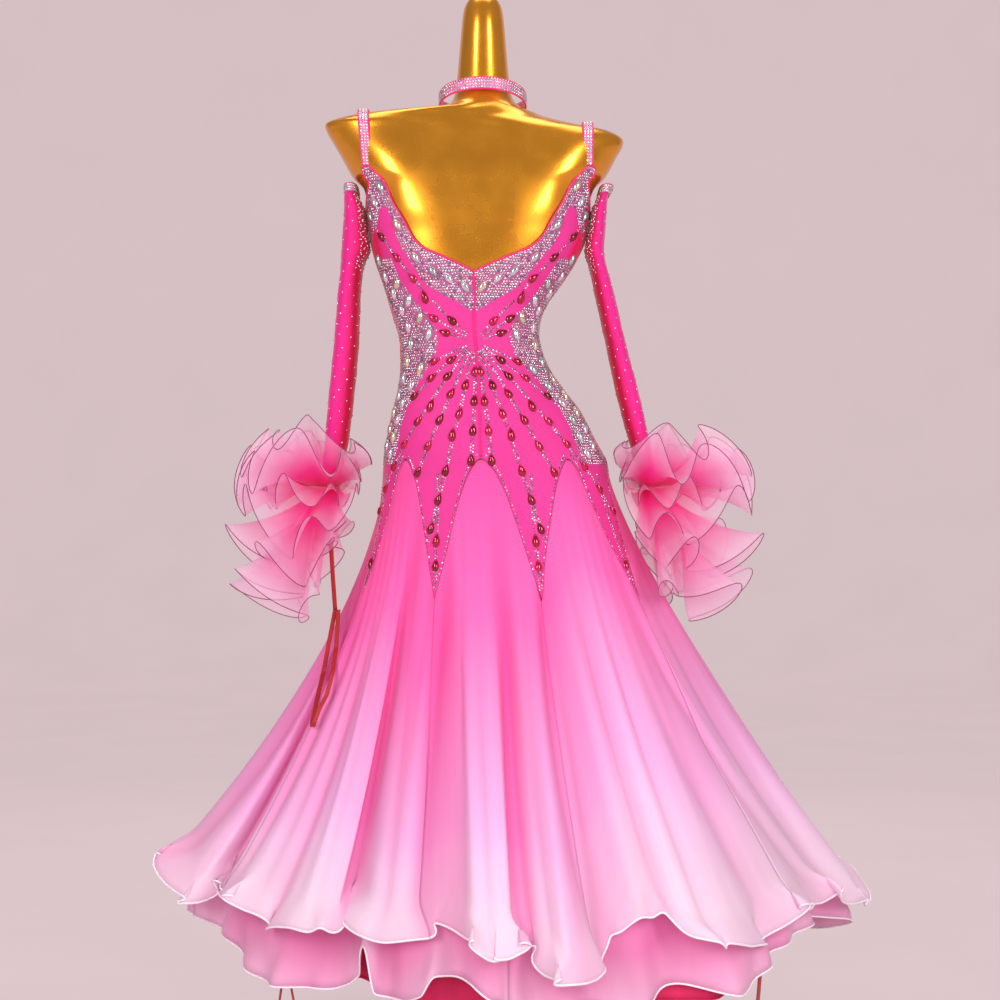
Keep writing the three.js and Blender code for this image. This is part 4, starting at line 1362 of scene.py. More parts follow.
class StoneBed:
    """Collects cut stones and builds them as one mesh."""

    # Each band of a stone's side: its lower and upper height, and its lower and upper width.
    ROUND = ((0, 0.45, 1, 0.62),)
    LONG = ((0, 0.3, 1.06, 1.0), (0.3, 0.75, 1.0, 0.72), (0.75, 1, 0.72, 0.45))

    def __init__(self, name: str, seed: int) -> None:
        """Args: name: the piece's name. seed: of its sizes and tints."""
        self.name = name
        self.rng = np.random.default_rng(seed)
        self.parts: list[tuple] = []

    @staticmethod
    def template(cut: Cut) -> tuple[Array, list]:
        """Returns a unit stone: places from -0.5 to 0.5 across, and 0 to 1 high, and its faces."""
        sides, bands = (6, StoneBed.ROUND) if cut is Cut.ROUND else (12, StoneBed.LONG)
        bm = bmesh.new()
        for low, high, wide, narrow in bands:
            cone = {"radius1": wide / 2, "radius2": narrow / 2, "depth": high - low}
            made = bmesh.ops.create_cone(bm, cap_ends=False, segments=sides, **cone)
            bmesh.ops.translate(bm, verts=made["verts"], vec=(0, 0, (low + high) / 2))
        bmesh.ops.remove_doubles(bm, verts=bm.verts, dist=1e-4)
        top = bands[-1][1] - 0.01
        rim = [e for e in bm.edges if e.is_boundary and min(v.co.z for v in e.verts) > top]
        bmesh.ops.holes_fill(bm, edges=rim, sides=0)
        bmesh.ops.recalc_face_normals(bm, faces=bm.faces)
        bm.verts.ensure_lookup_table()
        co = np.array([v.co for v in bm.verts])
        angle = np.arctan2(co[:, 0], co[:, 1])
        if cut is Cut.NAVETTE:
            co[:, 0] *= np.abs(np.sin(angle)) ** 0.45
        elif cut is Cut.TEARDROP:
            co[:, 0] *= np.abs(np.sin(angle / 2)) ** 0.9 * 1.15
        faces = [[v.index for v in f.verts] for f in bm.faces]
        bm.free()
        return co, faces

    def add(
        self, cut: Cut, where: Array, out: Array, up: Array, size: Array, tint: Sequence[Colour]
    ) -> None:
        """Adds stones.

        Args:
            cut: their outline.
            where, out, up: places in millimetres, outward and lengthwise directions, each (n, 3).
            size: length, width and height, (n, 3) or one row.
            tint: colours to draw from.
        """
        count = len(where)
        size = np.broadcast_to(np.asarray(size, float), (count, 3))
        up = up - out * np.sum(up * out, axis=1, keepdims=True)
        up /= np.linalg.norm(up, axis=1, keepdims=True)
        co, faces = self.template(cut)
        tilt = out + self.rng.normal(0, 0.1 if cut is Cut.ROUND else 0.03, out.shape)
        out = tilt / np.linalg.norm(tilt, axis=1, keepdims=True)
        local = co[None, :, :] * size[:, None, [1, 0, 2]]
        place = where[:, None, :]
        for k, axis in enumerate((np.cross(up, out), up, out)):
            place = place + local[..., k : k + 1] * axis[:, None, :]
        colour = np.array(tint)[self.rng.integers(0, len(tint), count)]
        colour = colour * self.rng.uniform(0.82, 1.0, (count, 1))
        self.parts.append((place, faces, np.repeat(colour[:, None, :], len(co), axis=1)))

    def build(self) -> bpy.types.Object:
        """Returns the stones as one object, riding on the frame."""
        places, tints, corners, totals = [], [], [], []
        start = 0
        for place, faces, tint in self.parts:
            count, verts = place.shape[:2]
            flat = np.concatenate([np.array(f) for f in faces])
            corners.append((flat[None, :] + start + verts * np.arange(count)[:, None]).ravel())
            totals.append(np.tile([len(f) for f in faces], count))
            places.append(place.reshape(-1, 3))
            tints.append(tint.reshape(-1, 3))
            start += count * verts
        co = np.concatenate(places) * MM
        loops, total = np.concatenate(corners), np.concatenate(totals)
        mesh = bpy.data.meshes.new(self.name)
        mesh.vertices.add(len(co))
        mesh.vertices.foreach_set("co", co.ravel())
        mesh.loops.add(len(loops))
        mesh.loops.foreach_set("vertex_index", loops)
        mesh.polygons.add(len(total))
        mesh.polygons.foreach_set("loop_start", np.concatenate([[0], np.cumsum(total)[:-1]]))
        mesh.update(calc_edges=True)
        layer = mesh.attributes.new("tint", "FLOAT_COLOR", "POINT")
        colour = np.column_stack([np.concatenate(tints), np.ones(len(co))])
        layer.data.foreach_set("color", colour.astype(np.float32).ravel())
        obj = bpy.data.objects.new(self.name, mesh)
        bpy.context.scene.collection.objects.link(obj)
        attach(obj, "root")
        LOG.info("%s: %d faces", self.name, len(mesh.polygons))
        return obj


UP = np.array([0.0, 0.0, 1.0])
# The eight stones of the solids, in pairs: bearing, height and lean.
SET = ((35, 1128, 12), (31, 968, -14), (15, 925, -6), (22.5, 772, 0))
SET_SIZE = (20.5, 12, 4.6)
SET_ROOM = (24, 15)  # length and width kept free for each of them
TIPS = (22.5, 67.5, 112.5, 157.5)  # bearings of the bodice's long tips on one side
BACKS = ((-1, "back_left"), (1, "back_right"))


def one(v: float, z: float) -> tuple[Array, Array]:
    """Returns a single bearing and height as arrays."""
    return np.array([v], float), np.array([z], float)


def in_turn(count: int, half: float) -> Array:
    """Returns -half and half in turn."""
    return np.where(np.arange(count) % 2, half, -half)


@dataclass(frozen=True)
class Layout:
    """The rule that the other stones are laid by, in millimetres and degrees.

    Straight rays leave one point at the centre back at even angles, with rubies at even
    steps. Two crusted bands, one under the neckline and one down each side, have smooth edges.
    """

    heart: float = 1062
    down: tuple[float, ...] = (5, 17, 29, 41, 53, 65)
    rise: tuple[float, ...] = (108, 122, 136)
    start: float = 16
    pitch: float = 2.3
    ruby_step: float = 44
    ruby: tuple[float, float, float] = (18, 12, 4.2)
    crystal: tuple[float, float, float] = (19, 10.5, 4.2)
    crystal_step: float = 25
    band: float = 56
    waist: float = 1066
    edge: float = 55
    nip: float = 25
    nip_height: float = 62
    tip_step: float = 9
    low: float = 884
    side_top: float = 1186
    row: float = 3.8
    stone: float = 4.2
    least_apart: float = 19


@dataclass(frozen=True)
class Trim:
    """How the stones of the straps, choker and sleeves are laid, in millimetres."""

    strap_rows: tuple[float, ...] = (-4.5, 0, 4.5)
    strap_pitch: float = 4.4
    choker_rows: tuple[float, ...] = (-5.6, -1.2, 3.2, 7.2)
    choker_round: int = 90
    band_rows: int = 3
    band_round: int = 38
    band_pitch: float = 3.9
    sleeve_rows: int = 26
    sleeve_round: int = 7
    sleeve_pitch: float = 15.6
    inner_count: int = 150
    inner_pitch: float = 0.75
    golden_turn: float = 2.39996


LAYOUT = Layout()
TRIM = Trim()


class Decoration:
    """Every stone on the gown, the same to the left and right and plainer in front."""

    def __init__(self) -> None:
        """Starts one bed for each part of the gown."""
        names = ("back_left", "back_right", "front", "trim")
        self.beds = {name: StoneBed("stones_" + name, k + 3) for k, name in enumerate(names)}
        self.rng = np.random.default_rng(11)

    def sizes(self, low: float, high: float, count: int, thick: float = 0.5) -> Array:
        """Returns a length, width and height for each of count round stones."""
        return self.rng.uniform(low, high, count)[:, None] * np.array([1, 1, thick])

    def on_gown(
        self,
        bed: str,
        cut: Cut,
        v: Array,
        z: Array,
        size: Array | tuple,
        lean: Array | float,
        tint: Sequence[Colour],
        lift: float = 0.15,
    ) -> None:
        """Adds stones on the gown's face at v and z, their length turned by lean degrees."""
        out = GOWN.normal(v, z)
        across = np.cross(UP, out)
        turn = np.radians(np.broadcast_to(lean, v.shape))[:, None]
        width = np.linalg.norm(across, axis=1, keepdims=True)
        up = np.cos(turn) * UP + np.sin(turn) * across / width
        self.beds[bed].add(cut, GOWN.off(v, z, lift), out, up, size, tint)

    def crust(self) -> tuple[Array, Array]:
        """Returns the places of the crusted stones for positive v, in rows of even pitch."""
        places = []
        even = np.arange(1, 179, 0.1)
        for row, z in enumerate(np.arange(LAYOUT.low, 1322, LAYOUT.row)):
            run = lengths(GOWN.face(even, np.full_like(even, z)))
            start = 0.5 * LAYOUT.stone * (row % 2)
            v = np.interp(np.arange(start, run[-1], LAYOUT.stone), run, even)
            level = np.full_like(v, z)
            places.append(np.stack([v, level], -1)[self.crusted(v, level)])
        v, z = np.concatenate(places).T
        return v + self.rng.uniform(-0.12, 0.12, len(v)), z + self.rng.uniform(-0.5, 0.5, len(v))

    @staticmethod
    def side_edge(z: Array) -> Array:
        """Returns the bearing where the side band starts: it swells toward the waist."""
        return LAYOUT.edge - LAYOUT.nip * np.exp(-(((z - LAYOUT.waist) / LAYOUT.nip_height) ** 2))

    @staticmethod
    def crusted(v: Array, z: Array) -> Array:
        """Returns whether each place, with v from 0 to 180, is in the crusted bands."""
        top = GOWN.neck(v) - 4
        band = np.where(v < 90, LAYOUT.band, 0.6 * LAYOUT.band)
        under_neck = (v <= 74) & (z > top - band) | (v >= 106) & (z > top - band)
        inner = Decoration.side_edge(z)
        level = (z >= LAYOUT.low) & (z <= LAYOUT.side_top)
        side = level & ((v > inner) & (v < 83) | (v > 97) & (v < 180 - inner))
        return (z <= top) & (under_neck | side)

    @staticmethod
    def ray(angle: float) -> tuple[Array, Array, Array]:
        """Returns reach, bearing and height along a ray, angle degrees from straight down."""
        reach = np.arange(LAYOUT.start, 330, LAYOUT.pitch)
        x = reach * math.sin(math.radians(angle))
        z = LAYOUT.heart - reach * math.cos(math.radians(angle))
        even = np.arange(0, 90.5, 1.0)
        v = np.empty_like(reach)
        for k in range(len(reach)):
            v[k] = np.interp(x[k], lengths(GOWN.face(even, np.full_like(even, z[k]))), even)
        inside = (v < 88) & (z < GOWN.neck(v) - 8) & (z > GOWN.arch(v) + 8)
        inside &= ~Decoration.crusted(v, z)
        end = len(v) if inside.all() else int(np.argmin(inside))
        return reach[:end], v[:end], z[:end]

    def gems(self) -> Array:
        """Adds the rays' rubies and the bands' crystals, and returns the places they take."""
        taken = [(v, z, *SET_ROOM) for v, z, _ in SET]
        rubies, crystals = [], []
        for k, angle in enumerate((*LAYOUT.down, *LAYOUT.rise)):
            reach, v, z = self.ray(angle)
            first = LAYOUT.start + LAYOUT.ruby_step * (0.6 + 0.5 * (k % 2))
            for at in np.arange(first, reach[-1], LAYOUT.ruby_step):
                place = int(np.searchsorted(reach, at))
                if place < len(v):
                    rubies.append((v[place], z[place], -angle if angle < 90 else 180 - angle))
        for tip in TIPS[:2]:
            rubies += [(tip, 822, 0), (tip, 736, 0)]
        for z in np.arange(898, LAYOUT.side_top, LAYOUT.crystal_step):
            inner = float(self.side_edge(z)) + 7
            between = z + 0.5 * LAYOUT.crystal_step
            crystals += [(inner, z, -20), (0.5 * inner + 41, between, 0)]
        for v in np.arange(5, 74, 9.5):
            crystals.append((v, float(GOWN.neck(v)) - 30, 34))
        for places, size, cut, tint in (
            (rubies, LAYOUT.ruby, Cut.TEARDROP, RUBY),
            (crystals, LAYOUT.crystal, Cut.NAVETTE, CHAMPAGNE),
        ):
            for v, z, lean in places:
                here = GOWN.face(*one(v, z))
                near = [np.linalg.norm(GOWN.face(*one(a, b)) - here) for a, b, *_ in taken]
                if min(near) < LAYOUT.least_apart:
                    continue
                taken.append((v, z, *size[:2]))
                for sign, bed in BACKS:
                    self.on_gown(bed, cut, *one(sign * v, z), size, sign * lean, tint)
        for tip in TIPS[2:]:
            for z in (736, 822, 908):
                taken.append((tip, z, *LAYOUT.ruby[:2]))
                for sign in (-1, 1):
                    place = one(sign * tip, z)
                    self.on_gown("front", Cut.TEARDROP, *place, LAYOUT.ruby, 0.0, RUBY)
        return np.array(taken)

    def set_stones(self) -> list[tuple[str, bpy.types.Object]]:
        """Returns the stones that stand for the CAD ones, with their node names."""
        made = []
        for k, (v, z, lean) in enumerate(SET):
            for step, sign in enumerate((-1, 1)):
                name = f"set_stone_{2 * k + step + 1}"
                bed = StoneBed("cut_" + name, 40 + k)
                self.beds["cut"] = bed
                place = one(sign * v, z)
                self.on_gown("cut", Cut.TEARDROP, *place, SET_SIZE, sign * lean, RUBY[:1], 0.3)
                del self.beds["cut"]
                made.append((name, bed.build()))
        return made

    def lay(self) -> None:
        """Lays the crusted bands, the rays, the rows on the tips and the rim of the neck."""
        taken = self.gems()
        v, z = self.crust()
        rays, tips = [], []
        for angle in (*LAYOUT.down, *LAYOUT.rise):
            _, rv, rz = self.ray(angle)
            rays.append(np.stack([rv + in_turn(len(rv), 0.62), rz], -1))
        for tip in TIPS:
            height = np.arange(702, 868, LAYOUT.pitch)
            tips.append(np.stack([tip + in_turn(len(height), 0.5), height], -1))
            for side in (-1, 1):
                v_edge = tip + side * np.arange(1.2, 21, 0.55)
                tips.append(np.stack([v_edge, GOWN.arch(v_edge) + LAYOUT.tip_step], -1))
        fan_v, fan_z = np.concatenate(rays + tips).T
        rim = np.arange(0.8, 179.5, 1.55)
        for name, pv, pz, low, high, tint in (
            ("crust", v, z, 2.9, 4.1, SILVER + SMOKE + SILVER),
            ("fan", fan_v, fan_z, 2.7, 3.4, SILVER[:3] + SMOKE + SMOKE[:3]),
            ("rim", rim, GOWN.neck(rim) - 3.4, 3.2, 3.4, SILVER[:4]),
        ):
            metric = GOWN.face(pv, pz)
            keep = np.ones(len(pv), bool)
            for gv, gz, length, width in taken:
                away = np.linalg.norm(metric - GOWN.face(*one(gv, gz)), axis=1)
                keep &= away > 0.25 * (length + width) + 1.6
            keep &= GOWN.arch(pv) < pz - 3
            pv, pz = pv[keep], pz[keep]
            size = self.sizes(low, high, len(pv), 0.52)
            lean = self.rng.uniform(0, 60, len(pv))
            for sign, back in BACKS:
                for bed, at in ((back, pv < 90), ("front", pv >= 90)):
                    self.on_gown(bed, Cut.ROUND, sign * pv[at], pz[at], size[at], lean[at], tint)
            LOG.info("%s: %d stones a side", name, len(pv))

    def trim(self) -> None:
        """Lays the stones on the straps, choker and sleeves."""
        bed = self.beds["trim"]
        for strap in STRAPS:
            count = int(strap.run[-1] / TRIM.strap_pitch)
            for across in TRIM.strap_rows:
                s = (np.arange(count) + 0.5) / count
                where = strap.face(s, across, 0.9)
                _, out = strap.at(s)
                size = self.sizes(3.6, 4.3, count)
                bed.add(Cut.ROUND, where, out, np.roll(out, 1, axis=1) + UP * 0.01, size, SILVER)
        count = TRIM.choker_round
        for up in TRIM.choker_rows:
            a = np.arange(count) / count * 2 * np.pi + up
            where = CHOKER.point(a, up, 2.1)
            out = CHOKER.point(a, up, 3.1) - where
            out /= np.linalg.norm(out, axis=1, keepdims=True)
            size = self.sizes(3.5, 4.2, count)
            bed.add(Cut.ROUND, where, out, np.tile(UP, (count, 1)), size, SILVER)
        for side, table in SLEEVES.items():
            top = table.data["z"][-1]
            count = TRIM.band_round
            for row in range(TRIM.band_rows):
                a = (np.arange(count) + 0.5 * (row % 2)) / count * 2 * np.pi
                level = top - 2.2 - TRIM.band_pitch * row
                self.on_sleeve(side, a, np.full(count, level), 0.7, 3.9)
            z, a = [], []
            for row in range(TRIM.sleeve_rows):
                height = top - 26 - row * TRIM.sleeve_pitch
                shift = 0.5 * (row % 2) + 0.12 * math.sin(row * 1.7)
                for k in range(TRIM.sleeve_round):
                    z.append(height + 5 * math.sin(k * 2.4))
                    a.append((k + shift) / TRIM.sleeve_round * 2 * math.pi)
            self.on_sleeve(side, np.array(a), np.array(z), 0.1, 2.6)
            inner = -math.pi / 2 if side == "right" else math.pi / 2
            k = np.arange(TRIM.inner_count)
            a = inner + 1.1 * np.sin(k * TRIM.golden_turn)
            self.on_sleeve(side, a, top - 16 - TRIM.inner_pitch * k, 0.1, 2.8)

    def on_sleeve(self, side: str, a: Array, z: Array, off: float, size: float) -> None:
        """Adds round stones on a sleeve at angles a and heights z."""
        where = sleeve_point(side, a, z, off)
        out = sleeve_point(side, a, z, off + 1) - where
        out /= np.linalg.norm(out, axis=1, keepdims=True)
        sizes = self.sizes(0.85, 1.1, len(a)) * size
        self.beds["trim"].add(Cut.ROUND, where, out, np.tile(UP, (len(a), 1)), sizes, SILVER)


# ---- the whole gown ----------------------------------------------------------------------------


@dataclass(frozen=True)
class Sweep:
    """The paper sweep, in metres: lengths along it, its start and its bend's radius."""

    tone: Colour = rgb(213, 193, 196)
    width: float = 20
    run: float = 21
    start: float = -6.5
    floor: float = 12
    bend: float = 3
    radius: float = 1.9
    sink: float = 0.0005

    def at(self, t: float) -> tuple[float, float]:
        """Returns y and z at a length t along the sweep."""
        corner = self.start + self.floor
        if t < self.floor:
            return self.start + t, 0
        if t < self.floor + self.bend:
            a = (t - self.floor) / self.bend * math.pi / 2
            return corner + self.radius * math.sin(a), self.radius * (1 - math.cos(a))
        return corner + self.radius, self.radius + (t - self.floor - self.bend)


SWEEP = Sweep()
EYE = (0.030, -3.100, 0.830)
LENS, SENSOR = 74.4, 36  # millimetres


@dataclass(frozen=True)
class Lamp:
    """A rectangular light, in metres and watts."""

    name: str
    place: tuple[float, float, float]
    aim: tuple[float, float, float]
    size: tuple[float, float]
    power: float
    colour: Colour
    glossy: bool = False

    def hang(self) -> None:
        """Adds the light to the scene."""
        light = bpy.data.lights.new(self.name, "AREA")
        light.shape = "RECTANGLE"
        light.size, light.size_y = self.size
        light.energy = self.power
        light.color = self.colour
        lamp = bpy.data.objects.new(self.name, light)
        lamp.location = self.place
        lamp.visible_glossy = self.glossy
        toward = Vector(self.aim) - Vector(self.place)
        lamp.rotation_euler = toward.to_track_quat("-Z", "Y").to_euler()
        bpy.context.scene.collection.objects.link(lamp)


LAMPS = (
    Lamp("key", (-1.9, -2.8, 1.85), (0, 0, 1.0), (0.8, 1.9), 55, (1.0, 0.98, 0.97), True),
    Lamp("fill", (1.9, -2.8, 1.85), (0, 0, 1.0), (0.8, 1.9), 60, (1.0, 0.98, 0.98), True),
    Lamp("front", (0.3, -3.7, 1.5), (0.1, 0, 0.6), (1.6, 0.8), 27, (1.0, 0.98, 0.99)),
    Lamp("low", (0.0, -2.6, 0.15), (0, 0, 0.4), (2.4, 0.5), 9, (1.0, 0.96, 0.98)),
    Lamp("top", (0.0, 0.2, 3.4), (0, 0, 1.0), (2.0, 1.6), 30, (1.0, 0.98, 0.98), True),
    Lamp("back", (0.0, 2.4, 1.8), (0, 0, 0.9), (3.0, 1.6), 20, (1.0, 0.95, 0.97)),
)


@dataclass(frozen=True)
class Cord:
    """A cord along a cloth's edge: its name, radius in millimetres, spans and finish."""

    name: str
    radius: float
    spans: int
    material: bpy.types.Material | None


class Scene:
    """Builds every piece, its finish and the studio."""

    def __init__(self) -> None:
        """Makes the finishes."""
        self.finish = cloth_finishes()
        self.edge = Satin("hem edge satin", rgb(255, 236, 248), 0.35).build()
        self.rim = Satin("ruffle rim thread", rgb(150, 40, 100), 0.45).build()
        self.trim = Satin("trim pink satin", rgb(236, 20, 110), 0.42).build()

    def put(
        self,
        piece: Piece | StoneBed,
        slot: Slot,
        nodes: Sequence[str] = (),
        material: bpy.types.Material | None = None,
        held: str = "",
        rests_on: Sequence[str] = (),
    ) -> bpy.types.Object:
        """Builds a piece, gives it its slot's finish or the one given, and hides the nodes that it
        stands for.
        """
        obj = piece.build()
        obj.data.materials.append(material or self.finish[slot])
        if nodes:
            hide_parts(*nodes)
        if held:
            self.sheet(piece, obj, held, rests_on)
        return obj

    @staticmethod
    def sheet(
        piece: Piece,
        obj: bpy.types.Object,
        held: str,
        rests_on: Sequence[str],
        edges: Sequence[bpy.types.Object] = (),
    ) -> None:
        """Measures the cut that a piece of cloth was laid from."""
        wide, long, area = piece.cut()

    def edged(
        self,
        panel: Piece,
        slot: Slot,
        nodes: Sequence[str],
        cord: Cord,
        held: str,
        rests_on: Sequence[str],
    ) -> None:
        """Builds a sheet of cloth with a cord along its last row."""
        cloth = self.put(panel, slot, nodes)

        def line(s: Array) -> Array:
            return panel.surface(s, np.ones_like(s))

        edge = tube(cord.name, line, cord.radius, cord.spans, panel.closed)
        trim = self.put(edge, slot, material=cord.material)
        self.sheet(panel, cloth, held, rests_on, [trim])

    def form(self) -> None:
        """Builds the limbless form, its pole and its base."""
        z = FORM.data["z"]
        sideways = np.diff(FORM.data["right"]) + np.diff(FORM.data["left"]) * 0.2
        run = np.concatenate([[0], np.cumsum(np.hypot(np.diff(z), sideways))])

        def torso(s: Array, t: Array) -> Array:
            height = np.interp((1 - t) * run[-1], run, z)
            turn = apart(360 * s, 0)
            blades = np.exp(-(((np.abs(turn) - 36) / 17) ** 2) - ((height - 1322) / 52) ** 2)
            spine = np.exp(-((turn / 10) ** 2))
            spine = spine * ease(1175, 1240, height) * ease(1440, 1385, height)
            return GOWN.form(360 * s, height, 6.5 * blades - 5 * spine)

        body = Piece("torso", torso, 96, 140, closed=True, capped=True)
        self.put(body, Slot.FORM, ["form_torso"])

        def pole(s: Array, t: Array) -> Array:
            z = 741.6 - 729.2 * t
            return ring(s, 12, z, np.interp(z, [12.4, 480, 741.6], [0, 9.5, 19]))

        self.put(Piece("pole", pole, 40, 24, closed=True, capped=True), Slot.STAND, ["form_pole"])

        def base(s: Array, t: Array) -> Array:
            at = [0, 0.45, 0.6, 0.8, 1]
            radius = np.interp(t, at, [14, 169, 174, 175, 175])
            return ring(s, radius, np.interp(t, at, [12, 12, 9.5, 6, 0]))

        self.put(Piece("base", base, 96, 28, closed=True, capped=True), Slot.STAND, ["form_base"])

    def bodice(self) -> None:
        """Builds the bodice's panels, zip tape and slider."""
        for name, start, end, across in (
            ("back_left", -90, 0, 96),
            ("back_right", 0, 90, 96),
            ("front", 90, 270, 124),
        ):

            def place(
                s: Array, t: Array, start: float = start, end: float = end
            ) -> tuple[Array, Array]:
                v = start + (end - start) * s
                top, low = GOWN.neck(v), GOWN.arch(v) + 0.9
                return v, top + (low - top) * t

            def surface(s: Array, t: Array, place=place) -> Array:
                v, z = place(s, t)
                drag = 0.5 * np.sin(z * 0.11 + np.abs(v) * 0.16)
                drag = drag * ease(60, 88, np.abs(apart(v, 0))) * ease(1180, 1050, z)
                return GOWN.off(v, z, drag)

            # Painted shade under the arms and down the sides of the bodice.
            def deep(s: Array, t: Array, place=place) -> Array:
                v, z = place(s, t)
                side = np.abs(apart(v, 0))
                gusset = ease(58, 68, side) * ease(1130, 1180, z)
                flank = ease(52, 84, side) * 0.8 * ease(850, 950, z)
                return np.maximum(flank, gusset) * ease(128, 96, side)

            # Where the crusted bands lie: the cloth there is painted darker, as shade between the
            # stones.
            def crust(s: Array, t: Array, place=place) -> Array:
                v, z = place(s, t)
                return Decoration.crusted(np.abs(apart(v, 0)), z).astype(float)

            node = "bodice_" + name
            marks = {"hollow": deep, "crust": crust}
            panel = Piece(node + "_cloth", surface, across, 120, thick=0.8, marks=marks)
            self.put(panel, Slot.STRETCH, [node], held="stretched", rests_on=["form_torso"])

        def tape(s: Array, t: Array) -> Array:
            z = 1160 - 267 * t
            line = GOWN.off(np.zeros_like(z), z, 1.4 - 0.5 * np.abs(2 * s - 1) ** 2)
            line[:, 0] += 4.4 * (s - 0.5)
            return line

        # The tape is darker toward its middle.
        marks = {"hollow": lambda s, t: 1 - ease(0, 0.5, np.abs(2 * s - 1))}
        strip = Piece("zip_cloth", tape, 6, 80, thick=0.6, marks=marks)
        under = ["bodice_back_left", "bodice_back_right"]
        self.put(strip, Slot.ZIP, ["zip_tape"], held="laid", rests_on=under)

        def pull(s: Array) -> Array:
            line = GOWN.off(0 * s, 1157 - 15 * s, 2.6)
            line[:, 0] += 0.5
            return line

        self.put(tube("zip_pull", pull, 1.3, 14, False), Slot.ZIP, material=self.trim)

        def neck_edge(s: Array) -> Array:
            v = 360 * s
            return GOWN.off(v, GOWN.neck(v) - 0.4, 0.2)

        self.put(tube("neck_edge", neck_edge, 1.5, 360, True), Slot.STRETCH, material=self.trim)

    def skirt(self) -> None:
        """Builds the outer skirt's panels with their hem edge."""
        for k, name in enumerate(NAMES):
            middle = k * SIZES.godet_deg

            def place(s: Array, t: Array, middle: float = middle) -> tuple[Array, Array]:
                v = middle + (2 * s - 1) * SIZES.godet_deg / 2
                top = GOWN.arch(v) - 0.9
                return v, top + (GOWN.hem(v)[..., 2] - top) * t

            def surface(s: Array, t: Array, place=place) -> Array:
                v, z = place(s, t)
                return CREASES.place(v, z)

            marks = {
                "fall": lambda s, t, place=place: CREASES.dye(*place(s, t)),
                "hollow": lambda s, t, place=place: CREASES.hollow(*place(s, t)),
            }
            panel = Piece("skirt_" + name, surface, 84, 72, thick=0.9, marks=marks)
            cord = Cord("hem_" + name, 1.7, 120, self.edge)
            above = [node for node, panels in HUNG_FROM.items() if name in panels]
            self.edged(panel, Slot.SKIRT, ["godet_" + name], cord, "hung", above)

    def layers(self) -> None:
        """Builds the second layer and the lining in quarters."""
        for layer in LAYERS:
            for quarter, start in QUARTERS.items():

                def surface(
                    s: Array, t: Array, layer: Layer = layer, start: float = start
                ) -> Array:
                    return layer.point(start + 90 * s, t)

                # Painted shade: darker in the hollows of the flutes, and a little darker all over
                # inside the skirt.
                def deep(s: Array, t: Array, layer: Layer = layer, start: float = start) -> Array:
                    a = np.radians(start + 0.05 + 89.9 * s)
                    return np.clip(0.35 - 0.5 * np.sin(a * layer.waves + 0.5) * t**2, 0, 1)

                name = f"{layer.name}_{quarter}"
                marks = {"fall": lambda s, t: t, "hollow": deep}
                panel = Piece(name + "_cloth", surface, 90, 32, thick=0.9, marks=marks)
                edge = self.edge if layer.slot is Slot.UNDER else None
                above = ["godet_" + NAMES[(start // 45 + k) % 8] for k in range(3)]
                cord = Cord(name + "_edge", 1.5, 120, edge)
                self.edged(panel, layer.slot, [name], cord, "hung", above)

    def ruffles(self) -> None:
        """Builds the cuffs' gathered tiers with their rim threads."""
        for cuff in CUFFS:
            for tier in (*TIERS, *PETALS):

                def surface(s: Array, t: Array, cuff: Cuff = cuff, tier: Tier = tier) -> Array:
                    return cuff.point(tier, s, t)

                # Painted shade in the troughs of the waves, strongest at the cuff.
                def deep(s: Array, t: Array, cuff: Cuff = cuff) -> Array:
                    wave = np.sin(2 * SIZES.ruffle_waves * np.pi * s + cuff.phase)
                    return np.clip(0.5 - 0.5 * wave, 0, 1) * (1 - 0.6 * t)

                name = f"ruffle_{cuff.side}_{tier.name}"
                nodes = [name] if tier in TIERS else []
                marks = {"fall": lambda s, t: t, "hollow": deep}
                panel = Piece(name + "_cloth", surface, 208, 20, closed=True, marks=marks)
                cord = Cord(name + "_rim", 0.7, 220, self.rim)
                self.edged(panel, Slot.RUFFLE, nodes, cord, "gathered", ["sleeve_" + cuff.side])

    def sleeves(self) -> None:
        """Builds the sleeves, their stone bands and edges."""
        for side, table in SLEEVES.items():
            top = table.data["z"][-1]
            inward = 1 if side == "left" else -1

            def surface(s: Array, t: Array, side: str = side, top: float = top) -> Array:
                z = top - 12.4 + (850 - top + 12.4) * t
                a = 2 * np.pi * s
                drag = 0.7 * np.sin(z * 0.13 + 1.6 * np.sin(a))
                drag = drag + 0.4 * np.sin(z * 0.31 + 2.3 * np.cos(a))
                return sleeve_point(side, a, z, drag * (0.3 + 0.7 * ease(0.75, 1, t)) - 0.4)

            # Painted shade: the sleeve's inner side, toward the body, is darker.
            def deep(s: Array, t: Array, inward: int = inward) -> Array:
                return ease(-0.35, 0.75, inward * np.sin(2 * np.pi * s))

            sleeve, holder = "sleeve_" + side, "sleeve_band_" + side
            marks = {"hollow": deep}
            cloth = Piece(sleeve + "_cloth", surface, 48, 100, closed=True, thick=0.8, marks=marks)
            self.put(cloth, Slot.SLEEVE, [sleeve], held="hung", rests_on=[holder])

            def band(s: Array, t: Array, side: str = side, top: float = top) -> Array:
                return sleeve_point(side, 2 * np.pi * s, top - 12 * t, 0.6)

            cloth = Piece(holder + "_cloth", band, 64, 4, closed=True, thick=1.2)
            self.put(cloth, Slot.BAND, [holder], held="laid", rests_on=[sleeve])

            def edge(s: Array, side: str = side, top: float = top) -> Array:
                return sleeve_point(side, 2 * np.pi * s, np.full_like(s, top), 0.2)

            cord = tube(f"sleeve_{side}_edge", edge, 1.1, 90, True)
            self.put(cord, Slot.SLEEVE, material=self.trim)

    def bands(self) -> None:
        """Builds the straps and the choker with their pink edges."""
        for strap in STRAPS:

            def surface(s: Array, t: Array, strap: Strap = strap) -> Array:
                return strap.face(s, 15 * (t - 0.5), 0.8)

